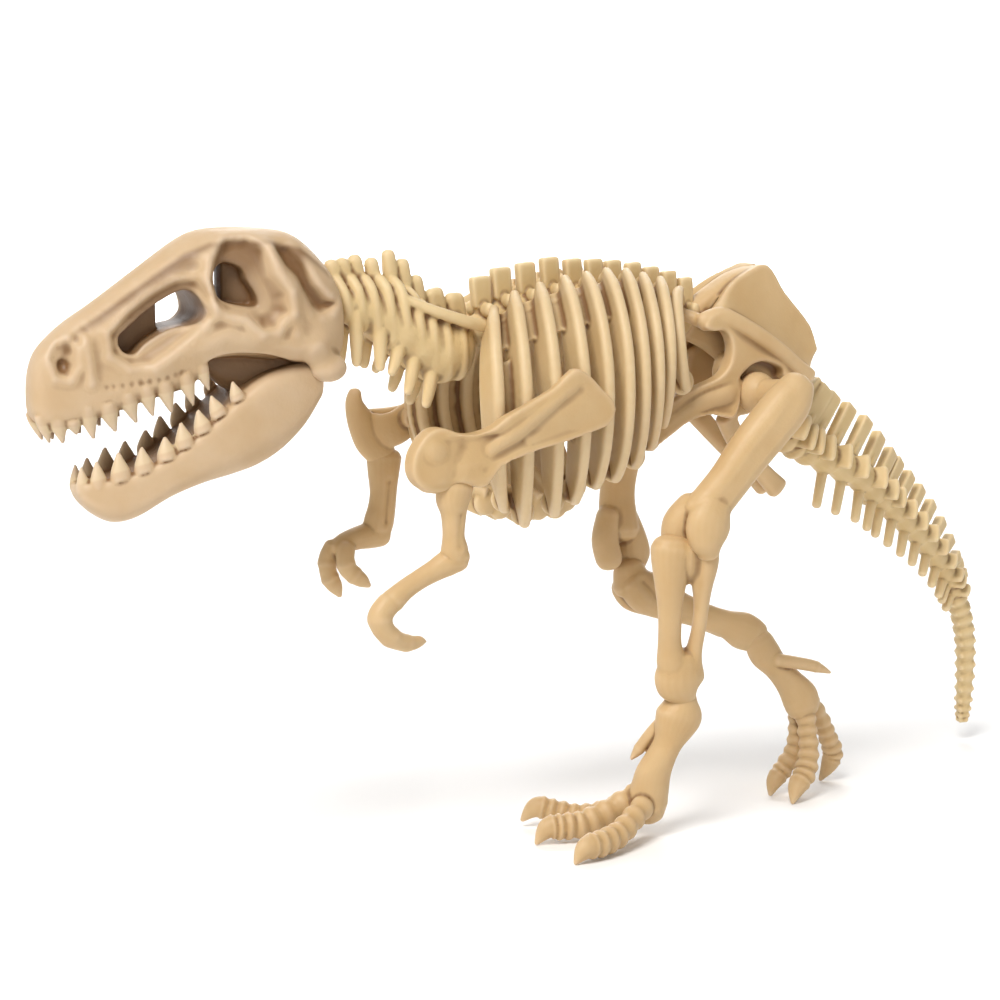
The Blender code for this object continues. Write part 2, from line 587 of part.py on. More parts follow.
def pelvis_pieces(grow=0.0):
    sacrum = [(66.0, 0.0, 157.0, 4.2, 4.6), (76.0, 0.0, 152.5, 4.4, 5.0),
              (87.0, 0.0, 144.0, 4.4, 5.0), (94.0, 0.0, 136.0, 4.2, 4.8),
              (99.5, 0.3, 128.0, 4.0, 4.6)]
    made = [tube(sacrum, sides=8, grow=grow, bulge=0.2)]
    for side in (-1.0, 1.0):
        blade = [(70.5, side * 8.0, 163.5, 2.2, 6.0), (76.0, side * 7.6, 164.6, 2.2, 8.6),
                 (86.0, side * 7.6, 162.8, 2.2, 11.6), (93.0, side * 8.6, 158.0, 2.2, 11.4),
                 (99.5, side * 10.2, 151.5, 2.2, 8.8), (104.0, side * 12.2, 145.0, 2.2, 5.8)]
        made.append(tube(blade, up=(0.35, -0.24 * side, 0.94), sides=6, power=3.4, grow=grow))
        lip = [(66.0, side * 7.0, 158.5, 2.6, 3.6), (75.0, side * 12.5, 157.2, 2.6, 2.6),
               (83.0, side * 15.0, 153.4, 2.6, 2.2), (90.0, side * 15.6, 148.0, 2.4, 2.0),
               (98.0, side * 15.6, 143.0, 2.2, 1.8), (103.0, side * 15.2, 140.6, 1.8, 1.8)]
        made.append(tube(lip, up=(0, 0, 1), sides=6, grow=grow))
        stem = [(79.0, side * 12.5, 156.0, 2.2, 4.0), (77.0, side * 13.5, 147.5, 2.4, 4.4),
                (77.0, side * 13.2, 139.5, 2.6, 6.4), (77.5, side * 12.0, 130.0, 2.2, 4.4),
                (76.0, side * 12.0, 124.8, 1.2, 2.4)]
        made.append(tube(stem, up=(1, 0, 0), sides=8, power=2.4, grow=grow))
        back_stem = [(92.0, side * 11.5, 150.0, 2.2, 5.0), (89.5, side * 11.5, 140.0, 2.6, 5.0),
                     (84.0, side * 11.0, 130.0, 2.4, 4.6)]
        made.append(tube(back_stem, up=(1, 0, 0), sides=8, grow=grow))
        pubis = [(78.0, side * 12.4, 134.5, 2.6, 4.8), (70.0, side * 11.6, 135.6, 2.2, 3.4),
                 (62.0, side * 9.4, 133.4, 2.1, 3.6), (56.5, side * 7.4, 128.5, 2.1, 4.4),
                 (53.0, side * 5.6, 123.0, 1.6, 3.2)]
        made.append(tube(pubis, up=(0.5, 0, 1), sides=6, grow=grow))
        made.append(tube([(88.0, side * 11.0, 148.0, 3.0, 3.0), (88.0, 0.0, 146.0, 3.0, 3.0)],
                         sides=8, grow=grow))
        made.append(tube([(71.0, side * 10.0, 157.5, 2.6, 2.6), (71.0, 0.0, 155.5, 2.6, 2.6)],
                         sides=8, grow=grow))
        ischium = [(78.0, side * 9.0, 130.0, 2.2, 3.4), (84.5, side * 5.0, 119.0, 2.2, 2.8),
                   (92.0, side * 3.6, 110.5, 2.2, 2.5), (98.0, side * 3.4, 104.6, 2.2, 2.6)]
        made.append(tube(ischium, up=(1, 0, 1), sides=8, power=2.8, grow=grow, bulge=0.2))
    return made


def build_pelvis():
    heads = []
    for side in (-1.0, 1.0):
        x, y, z = HIP
        heads.append(ball((x, side * y, z), (HIP_RADIUS,) * 3, GAP, segments=10, rings=7))
        heads += [femur_neck(side, GAP)]
    cuts = heads + [back_column(GAP), back_spine(BACK_SPINE_TOPS[-1], GAP)]
    for side, ends in ((-1.0, LEFT_RIB_ENDS), (1.0, RIGHT_RIB_ENDS)):
        cuts += rib_pieces(side, ends, GAP, rings=6, first=7)
    node("pelvis", pelvis_pieces(), cuts)


def femur_neck(side, grow=0.0):
    x, y, z = HIP
    return tube([(x, side * y, z, 4.2, 4.2), (x + 1.6, side * (y + 8.0), z + 0.6, 4.4, 4.4),
                 (x + 2.8, side * (y + 15.5), z + 0.6, 4.4, 5.0)], sides=8, grow=grow)


def femur_pieces(side, shaft, knee, grow=0.0):
    x, y, z = HIP
    made = [ball((x, side * y, z), (HIP_RADIUS,) * 3, grow, segments=10, rings=7),
            femur_neck(side, grow)]
    made.append(tube(shaft, up=(0, 1, 0), sides=8, grow=grow, power=2.3))
    for centre, radii in knee:
        made.append(ball(centre, radii, grow))
    return made


LEFT_SHAFT = [(85.2, -31.5, 136.5, 5.0, 4.6), (78.5, -32.4, 131.0, 5.6, 6.6),
              (69.5, -31.6, 121.2, 5.2, 6.2), (60.0, -30.0, 109.8, 4.6, 5.4),
              (53.5, -27.6, 100.8, 5.2, 5.8), (50.5, -26.0, 96.6, 5.8, 6.8)]
LEFT_KNEE = [((46.6, -22.6, 94.6), (4.4, 4.0, 4.8)), ((54.0, -29.6, 93.8), (5.0, 4.2, 5.2))]
RIGHT_SHAFT = [(85.2, 31.5, 136.5, 5.0, 4.6), (76.0, 33.0, 131.0, 5.4, 6.2),
               (66.5, 33.4, 117.0, 4.8, 5.8), (62.4, 32.0, 102.0, 4.6, 5.2),
               (61.6, 30.0, 90.0, 5.4, 6.0), (61.6, 28.8, 84.6, 5.6, 6.2)]
RIGHT_KNEE = [((58.0, 31.4, 81.4), (4.2, 4.0, 5.0)), ((65.8, 25.8, 81.6), (4.4, 4.0, 4.8))]


def left_shin_pieces(grow=0.0):
    top = [(50.6, -25.6, 91.5, 5.6, 6.4), (50.2, -25.6, 85.5, 5.0, 6.2),
           (49.6, -25.0, 79.5, 4.0, 5.2)]
    tibia = [(48.4, -24.0, 82.0, 3.0, 3.2), (47.6, -22.0, 70.0, 2.6, 2.8),
             (48.4, -19.8, 58.0, 2.8, 3.0), (51.0, -18.0, 50.0, 4.2, 4.6)]
    fibula = [(53.4, -27.0, 82.0, 2.4, 2.6), (53.0, -25.0, 70.0, 1.8, 2.0),
              (53.4, -22.0, 58.0, 1.9, 2.1), (54.4, -19.4, 50.0, 3.2, 3.4)]
    ankle = [(52.6, -18.8, 51.8, 4.8, 6.2), (53.4, -18.0, 47.8, 5.2, 6.6),
             (54.0, -17.4, 44.4, 4.4, 5.2)]
    return [tube(s, up=(1, 0, 0), sides=8, grow=grow) for s in (top, tibia, fibula, ankle)]


def right_shin_pieces(grow=0.0):
    top = [(61.8, 28.4, 76.5, 5.4, 5.8), (64.0, 27.6, 71.5, 5.2, 5.6),
           (69.0, 26.4, 67.6, 4.2, 4.8)]
    tibia = [(67.0, 26.4, 68.8, 3.6, 3.8), (78.0, 24.2, 62.8, 2.8, 3.0),
             (89.0, 21.4, 58.4, 3.0, 3.2), (98.0, 18.4, 55.2, 4.4, 4.6),
             (103.5, 17.0, 53.4, 4.2, 4.6)]
    fibula = [(69.0, 30.0, 70.0, 2.4, 2.4), (80.0, 28.0, 63.6, 1.8, 1.9),
              (91.0, 23.6, 57.6, 1.9, 2.0), (99.0, 20.0, 54.0, 3.0, 3.2)]
    return [tube(s, up=(0, 0, 1), sides=8, grow=grow) for s in (top, tibia, fibula)]


def toe(points, up, grow=0.0, steps=2):
    """A ringed toe: every bone swells at its middle and narrows at the joint."""
    stations = []
    for (first, second) in zip(points, points[1:]):
        for k in range(steps):
            share = k / steps
            swell = (0.92, 1.1)[k % 2]
            mix = [a + (b - a) * share for a, b in zip(first, second)]
            stations.append((mix[0], mix[1], mix[2], mix[3] * swell, mix[4] * swell))
    stations.append(points[-1])
    return tube(stations, up=up, sides=8, grow=grow)


def left_foot_pieces(grow=0.0):
    shaft = [(55.6, -17.0, 42.6, 5.4, 5.6), (54.2, -16.6, 37.6, 4.8, 5.0),
             (51.4, -15.6, 30.0, 4.4, 4.4), (50.0, -13.6, 20.0, 4.6, 4.6),
             (48.4, -11.0, 12.5, 6.2, 5.4), (47.6, -10.0, 8.6, 5.6, 4.6)]
    made = [tube(shaft, up=(1, 0, 0), sides=10, grow=grow)]
    outer = [(45.0, -14.5, 9.5, 4.0, 4.2), (36.0, -18.5, 6.6, 3.9, 4.2),
             (26.0, -24.0, 4.4, 3.8, 4.4), (18.0, -28.0, 3.9, 3.2, 3.9),
             (9.8, -27.2, 0.5, 0.8, 0.9)]
    middle = [(44.0, -8.5, 10.0, 4.0, 4.2), (34.0, -7.0, 6.6, 3.8, 4.2),
              (25.0, -6.0, 4.4, 3.6, 4.4), (18.0, -4.5, 4.2, 3.0, 3.9),
              (10.4, -3.6, 0.5, 0.8, 0.9)]
    inner = [(46.0, -3.5, 9.5, 3.6, 4.0), (40.0, 4.0, 6.2, 3.5, 4.2),
             (33.0, 10.0, 4.4, 3.4, 4.6), (27.0, 15.6, 5.0, 2.8, 3.6),
             (20.6, 20.6, 0.5, 0.8, 0.9)]
    made += [toe(points, (0.2, 0, 1), grow) for points in (outer, middle, inner)]
    spur = [(50.0, -11.0, 34.0, 2.2, 2.6), (46.4, -8.6, 30.4, 1.9, 2.2),
            (43.6, -6.4, 25.2, 0.8, 0.9)]
    made.append(tube(spur, up=(1, 0, 0), sides=6, grow=grow))
    return made


def right_foot_pieces(grow=0.0):
    shaft = [(104.6, 16.2, 51.0, 4.8, 5.2), (109.0, 15.6, 46.0, 4.4, 4.8),
             (115.0, 14.4, 38.5, 4.2, 4.8), (120.0, 13.4, 31.5, 5.0, 6.0),
             (121.6, 13.2, 27.6, 4.6, 5.8)]
    made = [tube(shaft, up=(1, 0, 1), sides=10, grow=grow)]
    outer = [(124.0, 17.0, 29.5, 2.9, 3.2), (133.0, 20.0, 22.5, 2.9, 3.3),
             (140.5, 22.4, 13.0, 2.8, 3.2), (142.6, 23.0, 7.6, 2.2, 2.6),
             (140.3, 23.2, 0.3, 0.8, 0.9)]
    middle = [(120.0, 11.6, 27.0, 2.9, 3.4), (120.6, 9.6, 18.0, 2.9, 3.3),
              (116.6, 6.0, 9.0, 2.7, 3.0), (113.0, 3.0, 5.2, 2.1, 2.4),
              (107.4, 0.6, 0.3, 0.8, 0.9)]
    inner = [(118.6, 16.4, 27.0, 2.8, 3.2), (116.6, 16.4, 18.5, 2.8, 3.2),
             (113.4, 15.6, 10.6, 2.6, 2.9), (111.4, 14.6, 6.0, 2.0, 2.3),
             (109.0, 13.4, 0.3, 0.8, 0.9)]
    made += [toe(points, (-0.3, 1, 0), grow) for points in (outer, middle, inner)]
    spur = [(112.0, 12.6, 44.0, 2.0, 2.2), (119.0, 9.4, 43.6, 2.0, 2.1),
            (125.0, 8.2, 41.4, 1.4, 1.4), (129.4, 8.0, 39.9, 0.5, 0.6)]
    made.append(tube(spur, up=(0, 1, 0), sides=6, grow=grow))
    return made


# Tail: centre line, then the half width and half height of its bones
TAIL_PATH = [(101.5, 1.6, 124.5, 4.8, 5.2), (107.0, 3.0, 119.4, 4.8, 5.2),
             (114.0, 4.4, 115.8, 4.7, 5.0), (127.7, 8.0, 110.0, 4.4, 4.7),
             (143.1, 13.0, 103.0, 4.1, 4.3), (155.1, 18.0, 95.4, 3.9, 4.1),
             (167.3, 23.0, 87.4, 3.7, 3.9), (180.0, 28.6, 79.0, 3.5, 3.7),
             (191.2, 33.6, 69.6, 3.3, 3.4), (199.5, 37.4, 60.6, 3.1, 3.2),
             (206.6, 41.4, 50.0, 2.9, 2.9), (211.8, 45.0, 38.0, 2.8, 2.8),
             (215.4, 48.2, 25.0, 2.3, 2.3), (217.6, 50.6, 13.0, 1.6, 1.6),
             (218.6, 51.8, 7.0, 0.8, 0.8)]
TAIL_SIDE = (0.45, -0.89, 0.0)
TAIL_CUTS = (5.0, 9.0)
TAIL_OVERLAP = 0.3
# Bones in the base, the middle and the tip of the tail
TAIL_BONES = (10, 8, 8)
# From this place on the tail carries only four rows of small bumps
TAIL_BUMPS_FROM = 10.8


def tail_at(place):
    """Centre, half width and half height at a place counted in path points."""
    last = len(TAIL_PATH) - 1
    k = min(int(place), last - 1)
    t = place - k
    rows = [TAIL_PATH[min(max(k + d, 0), last)] for d in (-1, 0, 1, 2)]
    out = []
    for a, b, c, d in zip(*rows):
        out.append(0.5 * (2 * b + (c - a) * t + (2 * a - 5 * b + 4 * c - d) * t * t
                          + (3 * b - a - 3 * c + d) * t ** 3))
    return out


def tail_frame(place):
    """Directions along the tail, out to its left and up out of its back."""
    last = len(TAIL_PATH) - 1
    here = vec(tail_at(min(place + 0.2, last))[:3]) - vec(tail_at(max(place - 0.2, 0))[:3])
    along = here.normalized()
    heading = Vector((0.86, 0.5, 0.0)) if place > 4 else Vector((0.95, 0.3, 0.0))
    left = Vector((heading.y, -heading.x, 0.0)).normalized()
    back = left.cross(along).normalized()
    if back.z < 0 and back.x < 0:
        back.negate()
    return along, left, back


def tail_piece(first, last, steps, grow=0.0):
    """A length of tail: a lumpy column with spines, side plates and chevrons."""
    stations = []
    for k in range(2 * steps + 1):
        place = first + (last - first) * k / (2.0 * steps)
        x, y, z, wide, high = tail_at(place)
        swell = 1.08 if k % 2 else 0.86
        stations.append((x, y, z, high * swell, wide * swell))
    made = [tube(stations, up=TAIL_SIDE, sides=6, grow=grow, bulge=0.2)]
    for k in range(steps):
        place = first + (last - first) * (k + 0.5) / steps
        made += tail_trim(place, grow)
    return made


def tail_trim(place, grow=0.0):
    x, y, z, wide, high = tail_at(place)
    centre = Vector((x, y, z))
    along, left, back = tail_frame(place)
    span = len(TAIL_PATH) - 1
    size = max(1.0 - place / span, 0.0)
    made = []
    if place > TAIL_BUMPS_FROM:
        for away in (back, left, -left, -back):
            tip = centre + away * (wide + 0.9)
            made.append(tube([(*centre, 1.2, 1.4), (*tip, 0.8, 0.9)], up=along, sides=4,
                             grow=grow, bulge=0.3))
        return made
    rise = high + 1.5 + 15.0 * size ** 1.15
    lean = along * rise * 0.32
    root = centre + back * high * 0.4
    tip = centre + back * rise + lean
    made.append(tube([(*root, 1.1, 2.1), (*tip, 1.0, 2.0)], up=along, sides=4, power=4.0,
                     grow=grow, bulge=0.3))
    fall = high + 1.0 + 12.5 * size
    root = centre - back * high * 0.4
    tip = centre - back * fall + along * fall * 0.1
    made.append(tube([(*root, 1.3, 1.4), (*tip, 0.9, 1.0)], up=along, sides=4, grow=grow))
    reach = wide + 0.8 + 5.2 * size
    for side in (1.0, -1.0):
        tip = centre + left * side * reach + along * reach * 0.25 + back * 0.6
        made.append(tube([(*centre, 1.1, 2.0), (*tip, 0.8, 1.7)], up=along, sides=4,
                         power=4.0, grow=grow, bulge=0.3))
    return made


def build_tail():
    """Three lengths; each starts a little inside the one before, then is cut clear."""
    names = ("tail_base", "tail_middle", "tail_tip")
    cuts = [0.0, *TAIL_CUTS, len(TAIL_PATH) - 1.0]
    spans = [(max(a - TAIL_OVERLAP, 0.0), b, n) for a, b, n in zip(cuts, cuts[1:], TAIL_BONES)]
    for k, name in enumerate(names):
        keep_out = tail_piece(*spans[k - 1], GAP) if k else pelvis_pieces(GAP)
        node(name, tail_piece(*spans[k]), keep_out)


def floor_cut():
    return box((-200.0, -200.0, -40.0), (300.0, 200.0, FLOOR))


def build_limbs():
    left_ribs = side_ribs(-1.0, LEFT_RIB_ENDS, GAP)
    node("shoulder_left", left_shoulder_pieces(), left_ribs)
    node("shoulder_right", right_shoulder_pieces(), side_ribs(1.0, RIGHT_RIB_ENDS, GAP))
    node("arm_left", left_arm_pieces(), left_shoulder_pieces(GAP))
    node("arm_right", right_arm_pieces(), right_shoulder_pieces(GAP))
    node("femur_left", femur_pieces(-1.0, LEFT_SHAFT, LEFT_KNEE))
    node("femur_right", femur_pieces(1.0, RIGHT_SHAFT, RIGHT_KNEE))
    node("shin_left", left_shin_pieces(), femur_pieces(-1.0, LEFT_SHAFT, LEFT_KNEE, GAP))
    node("shin_right", right_shin_pieces(), femur_pieces(1.0, RIGHT_SHAFT, RIGHT_KNEE, GAP))
    node("foot_left", left_foot_pieces(), left_shin_pieces(GAP) + [floor_cut()])
    node("foot_right", right_foot_pieces(), right_shin_pieces(GAP) + [floor_cut()])


def move_to_origin():
    for thing in bpy.data.objects:
        for corner in thing.data.vertices:
            corner.co -= BOX_CENTRE * MM


clear_scene()
build_skull()
build_jaw()
build_neck()
build_back()
build_ribs()
build_pelvis()
build_limbs()
build_tail()
move_to_origin()
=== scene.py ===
"""Toy skeleton of a large two-legged dinosaur in cream moulded plastic.

The animal faces -X, its left side is -Y and the floor is z = 0. Shapes are laid
out in millimetres about the model's own point and turned to metres at the end.
"""
import json
import math

import bpy
import numpy as np
from bpy.props import FloatProperty, FloatVectorProperty, IntProperty, PointerProperty
from mathutils import Matrix, Vector
from mathutils.geometry import tessellate_polygon

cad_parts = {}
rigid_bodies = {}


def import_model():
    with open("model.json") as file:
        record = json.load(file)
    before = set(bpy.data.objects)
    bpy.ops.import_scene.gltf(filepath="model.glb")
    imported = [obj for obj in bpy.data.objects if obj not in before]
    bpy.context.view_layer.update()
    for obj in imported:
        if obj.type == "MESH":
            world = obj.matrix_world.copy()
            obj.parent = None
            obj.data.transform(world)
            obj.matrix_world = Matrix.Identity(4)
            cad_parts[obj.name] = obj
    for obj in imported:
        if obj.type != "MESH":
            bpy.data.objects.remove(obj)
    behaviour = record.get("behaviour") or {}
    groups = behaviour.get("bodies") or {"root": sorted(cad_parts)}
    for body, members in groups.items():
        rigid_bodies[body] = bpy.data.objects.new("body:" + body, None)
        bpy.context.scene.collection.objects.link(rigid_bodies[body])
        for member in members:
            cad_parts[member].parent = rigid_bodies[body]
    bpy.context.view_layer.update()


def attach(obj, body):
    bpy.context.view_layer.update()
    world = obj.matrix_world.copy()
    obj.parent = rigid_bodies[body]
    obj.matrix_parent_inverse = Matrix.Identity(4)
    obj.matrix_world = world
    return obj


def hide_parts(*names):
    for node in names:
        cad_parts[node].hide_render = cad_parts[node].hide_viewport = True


bl_info = {
    "name": "Toy Dinosaur Skeleton",
    "version": (1, 0, 0),
    "blender": (4, 5, 0),
    "location": "View3D > Sidebar > Skeleton",
    "description": "Builds a moulded plastic toy skeleton bone by bone",
    "category": "Add Mesh",
}

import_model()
BODY = "root"

MM = 0.001
BOX_CENTRE = np.array((37.0, 7.4, 0.0))


# Number tools

def unit(v):
    v = np.asarray(v, float)
    return v / max(np.linalg.norm(v), 1e-12)


def spline_rows(rows, per_span):
    """Rows of numbers joined by a smooth curve that passes through each row."""
    rows = np.asarray(rows, float)
    last = len(rows) - 1
    out = []
    for k in range(last):
        a, b, c, d = (rows[min(max(k + j, 0), last)] for j in (-1, 0, 1, 2))
        for i in range(per_span):
            t = i / per_span
            out.append(0.5 * (2 * b + (c - a) * t + (2 * a - 5 * b + 4 * c - d) * t * t
                              + (3 * b - a - 3 * c + d) * t ** 3))
    out.append(rows[-1])
    return np.array(out)


def closed_spline(rows, per_span):
    rows = np.asarray(rows, float)
    n = len(rows)
    out = []
    for k in range(n):
        a, b, c, d = (rows[(k + j) % n] for j in (-1, 0, 1, 2))
        for i in range(per_span):
            t = i / per_span
            out.append(0.5 * (2 * b + (c - a) * t + (2 * a - 5 * b + 4 * c - d) * t * t
                              + (3 * b - a - 3 * c + d) * t ** 3))
    return np.array(out)


def ease(value):
    """Smooth step from 0 to 1."""
    value = np.clip(value, 0.0, 1.0)
    return value * value * (3.0 - 2.0 * value)


def line_distance(points, line):
    """Distance of each point to a line of straight pieces, and its place along it."""
    best = np.full(len(points), 1e9)
    place = np.zeros(len(points))
    line = np.asarray(line, float)
    for k in range(len(line) - 1):
        a, d = line[k], line[k + 1] - line[k]
        t = np.clip((points - a) @ d / max(d @ d, 1e-9), 0.0, 1.0)
        gap = np.linalg.norm(points - a - t[:, None] * d, axis=1)
        near = gap < best
        best[near] = gap[near]
        place[near] = (k + t[near]) / (len(line) - 1)
    return best, place


def outline_depth(points, outline):
    """How far inside a flat outline each flat point is; below zero outside it."""
    outline = np.asarray(outline, float)
    ring = np.vstack((outline, outline[:1]))
    gap, _ = line_distance(points, ring)
    inside = np.zeros(len(points), bool)
    x, y = points[:, 0], points[:, 1]
    for (x0, y0), (x1, y1) in zip(ring[:-1], ring[1:]):
        crosses = (y0 > y) != (y1 > y)
        with np.errstate(divide="ignore", invalid="ignore"):
            at = x0 + (y - y0) * (x1 - x0) / (y1 - y0 if y1 != y0 else 1e-9)
        inside ^= crosses & (x < at)
    return np.where(inside, gap, -gap)


# Clay: closed forms in millimetres that are fused into one moulded piece

class Clay:
    def __init__(self):
        self.points = []
        self.faces = []
        self.count = 0

    def add(self, points, faces):
        self.points.append(np.asarray(points, float))
        self.faces += [tuple(i + self.count for i in face) for face in faces]
        self.count += len(points)

    def rings(self, rings, start, end):
        """A closed skin over rings of equal length, with a point at each end."""
        sides = len(rings[0])
        points = np.vstack([np.vstack(rings), [start], [end]])
        faces = []
        for r in range(len(rings) - 1):
            for k in range(sides):
                n = (k + 1) % sides
                faces.append((r * sides + k, r * sides + n,
                              (r + 1) * sides + n, (r + 1) * sides + k))
        first, last = len(points) - 2, len(points) - 1
        top = (len(rings) - 1) * sides
        for k in range(sides):
            n = (k + 1) % sides
            faces.append((n, k, first))
            faces.append((top + k, top + n, last))
        self.add(points, faces)

    def tube(self, stations, up=(0, 0, 1), sides=18, power=2.0, spans=5, bulge=0.8,
             smooth=True):
        """A bone through stations of (x, y, z, half side, half up), with round ends."""
        rows = spline_rows(stations, spans) if smooth else np.asarray(stations, float)
        centres, sizes = rows[:, :3], np.maximum(rows[:, 3:5], 0.15)
        angles = 2.0 * np.pi * (np.arange(sides) + 0.5) / sides
        c, s = np.cos(angles), np.sin(angles)
        c = np.sign(c) * np.abs(c) ** (2.0 / power)
        s = np.sign(s) * np.abs(s) ** (2.0 / power)
        rings = []
        count = len(rows)
        for k in range(count):
            along = unit(centres[min(k + 1, count - 1)] - centres[max(k - 1, 0)])
            side = unit(np.cross(up, along))
            high = np.cross(along, side)
            a, b = sizes[k]
            flat = np.outer(c * a, side) + np.outer(s * b, high)
            if k == 0:
                reach = bulge * min(a, b)
                start = centres[0] - along * reach
                for share in (0.85, 0.55):
                    rings.append(centres[0] - along * reach * share
                                 + flat * math.sqrt(1.0 - share * share))
            rings.append(centres[k] + flat)
            if k == count - 1:
                reach = bulge * min(a, b)
                end = centres[k] + along * reach
                for share in (0.55, 0.85):
                    rings.append(centres[k] + along * reach * share
                                 + flat * math.sqrt(1.0 - share * share))
        self.rings(rings, start, end)

    def ball(self, centre, radii, segments=20, rows=12):
        rings = []
        for r in range(1, rows):
            polar = math.pi * r / rows
            angles = 2.0 * np.pi * np.arange(segments) / segments
            ring = np.stack((np.cos(angles) * math.sin(polar),
                             np.sin(angles) * math.sin(polar),
                             np.full(segments, -math.cos(polar))), 1)
            rings.append(np.asarray(centre) + ring * radii)
        low = np.asarray(centre, float) - (0, 0, radii[2])
        high = np.asarray(centre, float) + (0, 0, radii[2])
        self.rings(rings, low, high)

    def slab(self, outline, middle, half):
        """A plate with a flat outline of (x, z); middle gives its y, half its thickness."""
        ring = closed_spline(outline, 4)
        count = len(ring)
        near = [(x, middle(x, z) - half(x, z), z) for x, z in ring]
        far = [(x, middle(x, z) + half(x, z), z) for x, z in ring]
        flat = [Vector((x, z, 0.0)) for x, z in ring]
        faces = []
        for a, b, c in tessellate_polygon([flat]):
            faces.append((a, b, c))
            faces.append((c + count, b + count, a + count))
        for k in range(count):
            n = (k + 1) % count
            faces.append((k, n, n + count, k + count))
        self.add(np.array(near + far), faces)

    def sheet(self, grid, outward, half):
        """A thick sheet over a grid of points; outward is its thickness direction."""
        grid = np.asarray(grid, float)
        outward = np.asarray(outward, float)
        high, wide = grid.shape[:2]
        skins = [(grid + outward * half).reshape(-1, 3), (grid - outward * half).reshape(-1, 3)]
        count = high * wide
        faces = []
        for r in range(high - 1):
            for k in range(wide - 1):
                a = r * wide + k
                face = (a, a + 1, a + 1 + wide, a + wide)
                faces.append(face)
                faces.append(tuple(i + count for i in reversed(face)))
        edge = ([k for k in range(wide)] + [r * wide + wide - 1 for r in range(1, high)]
                + [(high - 1) * wide + k for k in range(wide - 2, -1, -1)]
                + [r * wide for r in range(high - 2, 0, -1)])
        for k, a in enumerate(edge):
            b = edge[(k + 1) % len(edge)]
            faces.append((b, a, a + count, b + count))
        self.add(np.vstack(skins), faces)

    def mesh_object(self, name):
        data = bpy.data.meshes.new(name)
        data.from_pydata(np.vstack(self.points).tolist(), [], self.faces)
        data.update()
        return link(name, data)

    def take(self, thing):
        """Adds the mesh of another object, which is then removed."""
        data = thing.data
        points = np.empty(len(data.vertices) * 3)
        data.vertices.foreach_get("co", points)
        faces = [tuple(face.vertices) for face in data.polygons]
        self.add(points.reshape(-1, 3), faces)
        bpy.data.objects.remove(thing, do_unlink=True)


def link(name, data):
    thing = bpy.data.objects.new(name, data)
    bpy.context.scene.collection.objects.link(thing)
    return thing


def settle(thing):
    """Replace the object's mesh by what its modifiers make of it."""
    depsgraph = bpy.context.evaluated_depsgraph_get()
    result = bpy.data.meshes.new_from_object(thing.evaluated_get(depsgraph))
    thing.modifiers.clear()
    old = thing.data
    thing.data = result
    bpy.data.meshes.remove(old)
    return thing


def fuse(thing, voxel, rounds, factor=0.5):
    """Melt everything in the mesh into one skin and soften it."""
    melt = thing.modifiers.new("melt", "REMESH")
    melt.mode = "VOXEL"
    melt.voxel_size = voxel
    if rounds:
        soft = thing.modifiers.new("soften", "SMOOTH")
        soft.factor = factor
        soft.iterations = rounds
    return settle(thing)


def cut(thing, clay_cutters):
    """Take closed forms out of the piece."""
    group = bpy.data.collections.new("cutters")
    bpy.context.scene.collection.children.link(group)
    for clay in clay_cutters:
        cutter = clay.mesh_object("cutter")
        bpy.context.scene.collection.objects.unlink(cutter)
        group.objects.link(cutter)
    for cutter in group.objects:
        step = thing.modifiers.new("cut", "BOOLEAN")
        step.operation = "DIFFERENCE"
        step.object = cutter
        step.solver = "MANIFOLD"
    settle(thing)
    for cutter in list(group.objects):
        bpy.data.objects.remove(cutter, do_unlink=True)
    bpy.data.collections.remove(group)
    return thing


def read_points(thing):
    count = len(thing.data.vertices)
    points = np.empty(count * 3)
    thing.data.vertices.foreach_get("co", points)
    normals = np.empty(count * 3)
    thing.data.vertices.foreach_get("normal", normals)
    return points.reshape(-1, 3), normals.reshape(-1, 3)


def write_points(thing, points):
    thing.data.vertices.foreach_set("co", points.ravel())
    thing.data.update()


# Geometry node trees for what repeats

def new_tree(name, inputs):
    tree = bpy.data.node_groups.new(name, "GeometryNodeTree")
    tree.interface.new_socket("Geometry", in_out="INPUT", socket_type="NodeSocketGeometry")
    for label, kind, default in inputs:
        socket = tree.interface.new_socket(label, in_out="INPUT", socket_type=kind)
        if default is not None:
            socket.default_value = default
    tree.interface.new_socket("Geometry", in_out="OUTPUT", socket_type="NodeSocketGeometry")
    return tree, tree.nodes.new("NodeGroupInput"), tree.nodes.new("NodeGroupOutput")


def named(tree, name, kind="FLOAT_VECTOR"):
    node = tree.nodes.new("GeometryNodeInputNamedAttribute")
    node.data_type = kind
    node.inputs["Name"].default_value = name
    return node.outputs["Attribute"]


def end_tree(tree, geometry, given, output):
    """Every tree ends by making its copies real and giving them the plastic."""
    real = tree.nodes.new("GeometryNodeRealizeInstances")
    paint = tree.nodes.new("GeometryNodeSetMaterial")
    tree.links.new(geometry, real.inputs["Geometry"])
    tree.links.new(real.outputs["Geometry"], paint.inputs["Geometry"])
    tree.links.new(given.outputs["Material"], paint.inputs["Material"])
    tree.links.new(paint.outputs["Geometry"], output.inputs["Geometry"])


def place_copies(tree, shape, given):
    """Copies of a shape on the points, each with its own turn and size."""
    links = tree.links
    place = tree.nodes.new("GeometryNodeInstanceOnPoints")
    turn = tree.nodes.new("FunctionNodeEulerToRotation")
    links.new(named(tree, "turn"), turn.inputs["Euler"])
    links.new(given.outputs["Geometry"], place.inputs["Points"])
    links.new(shape, place.inputs["Instance"])
    links.new(turn.outputs["Rotation"], place.inputs["Rotation"])
    links.new(named(tree, "size"), place.inputs["Scale"])
    return place.outputs["Instances"]


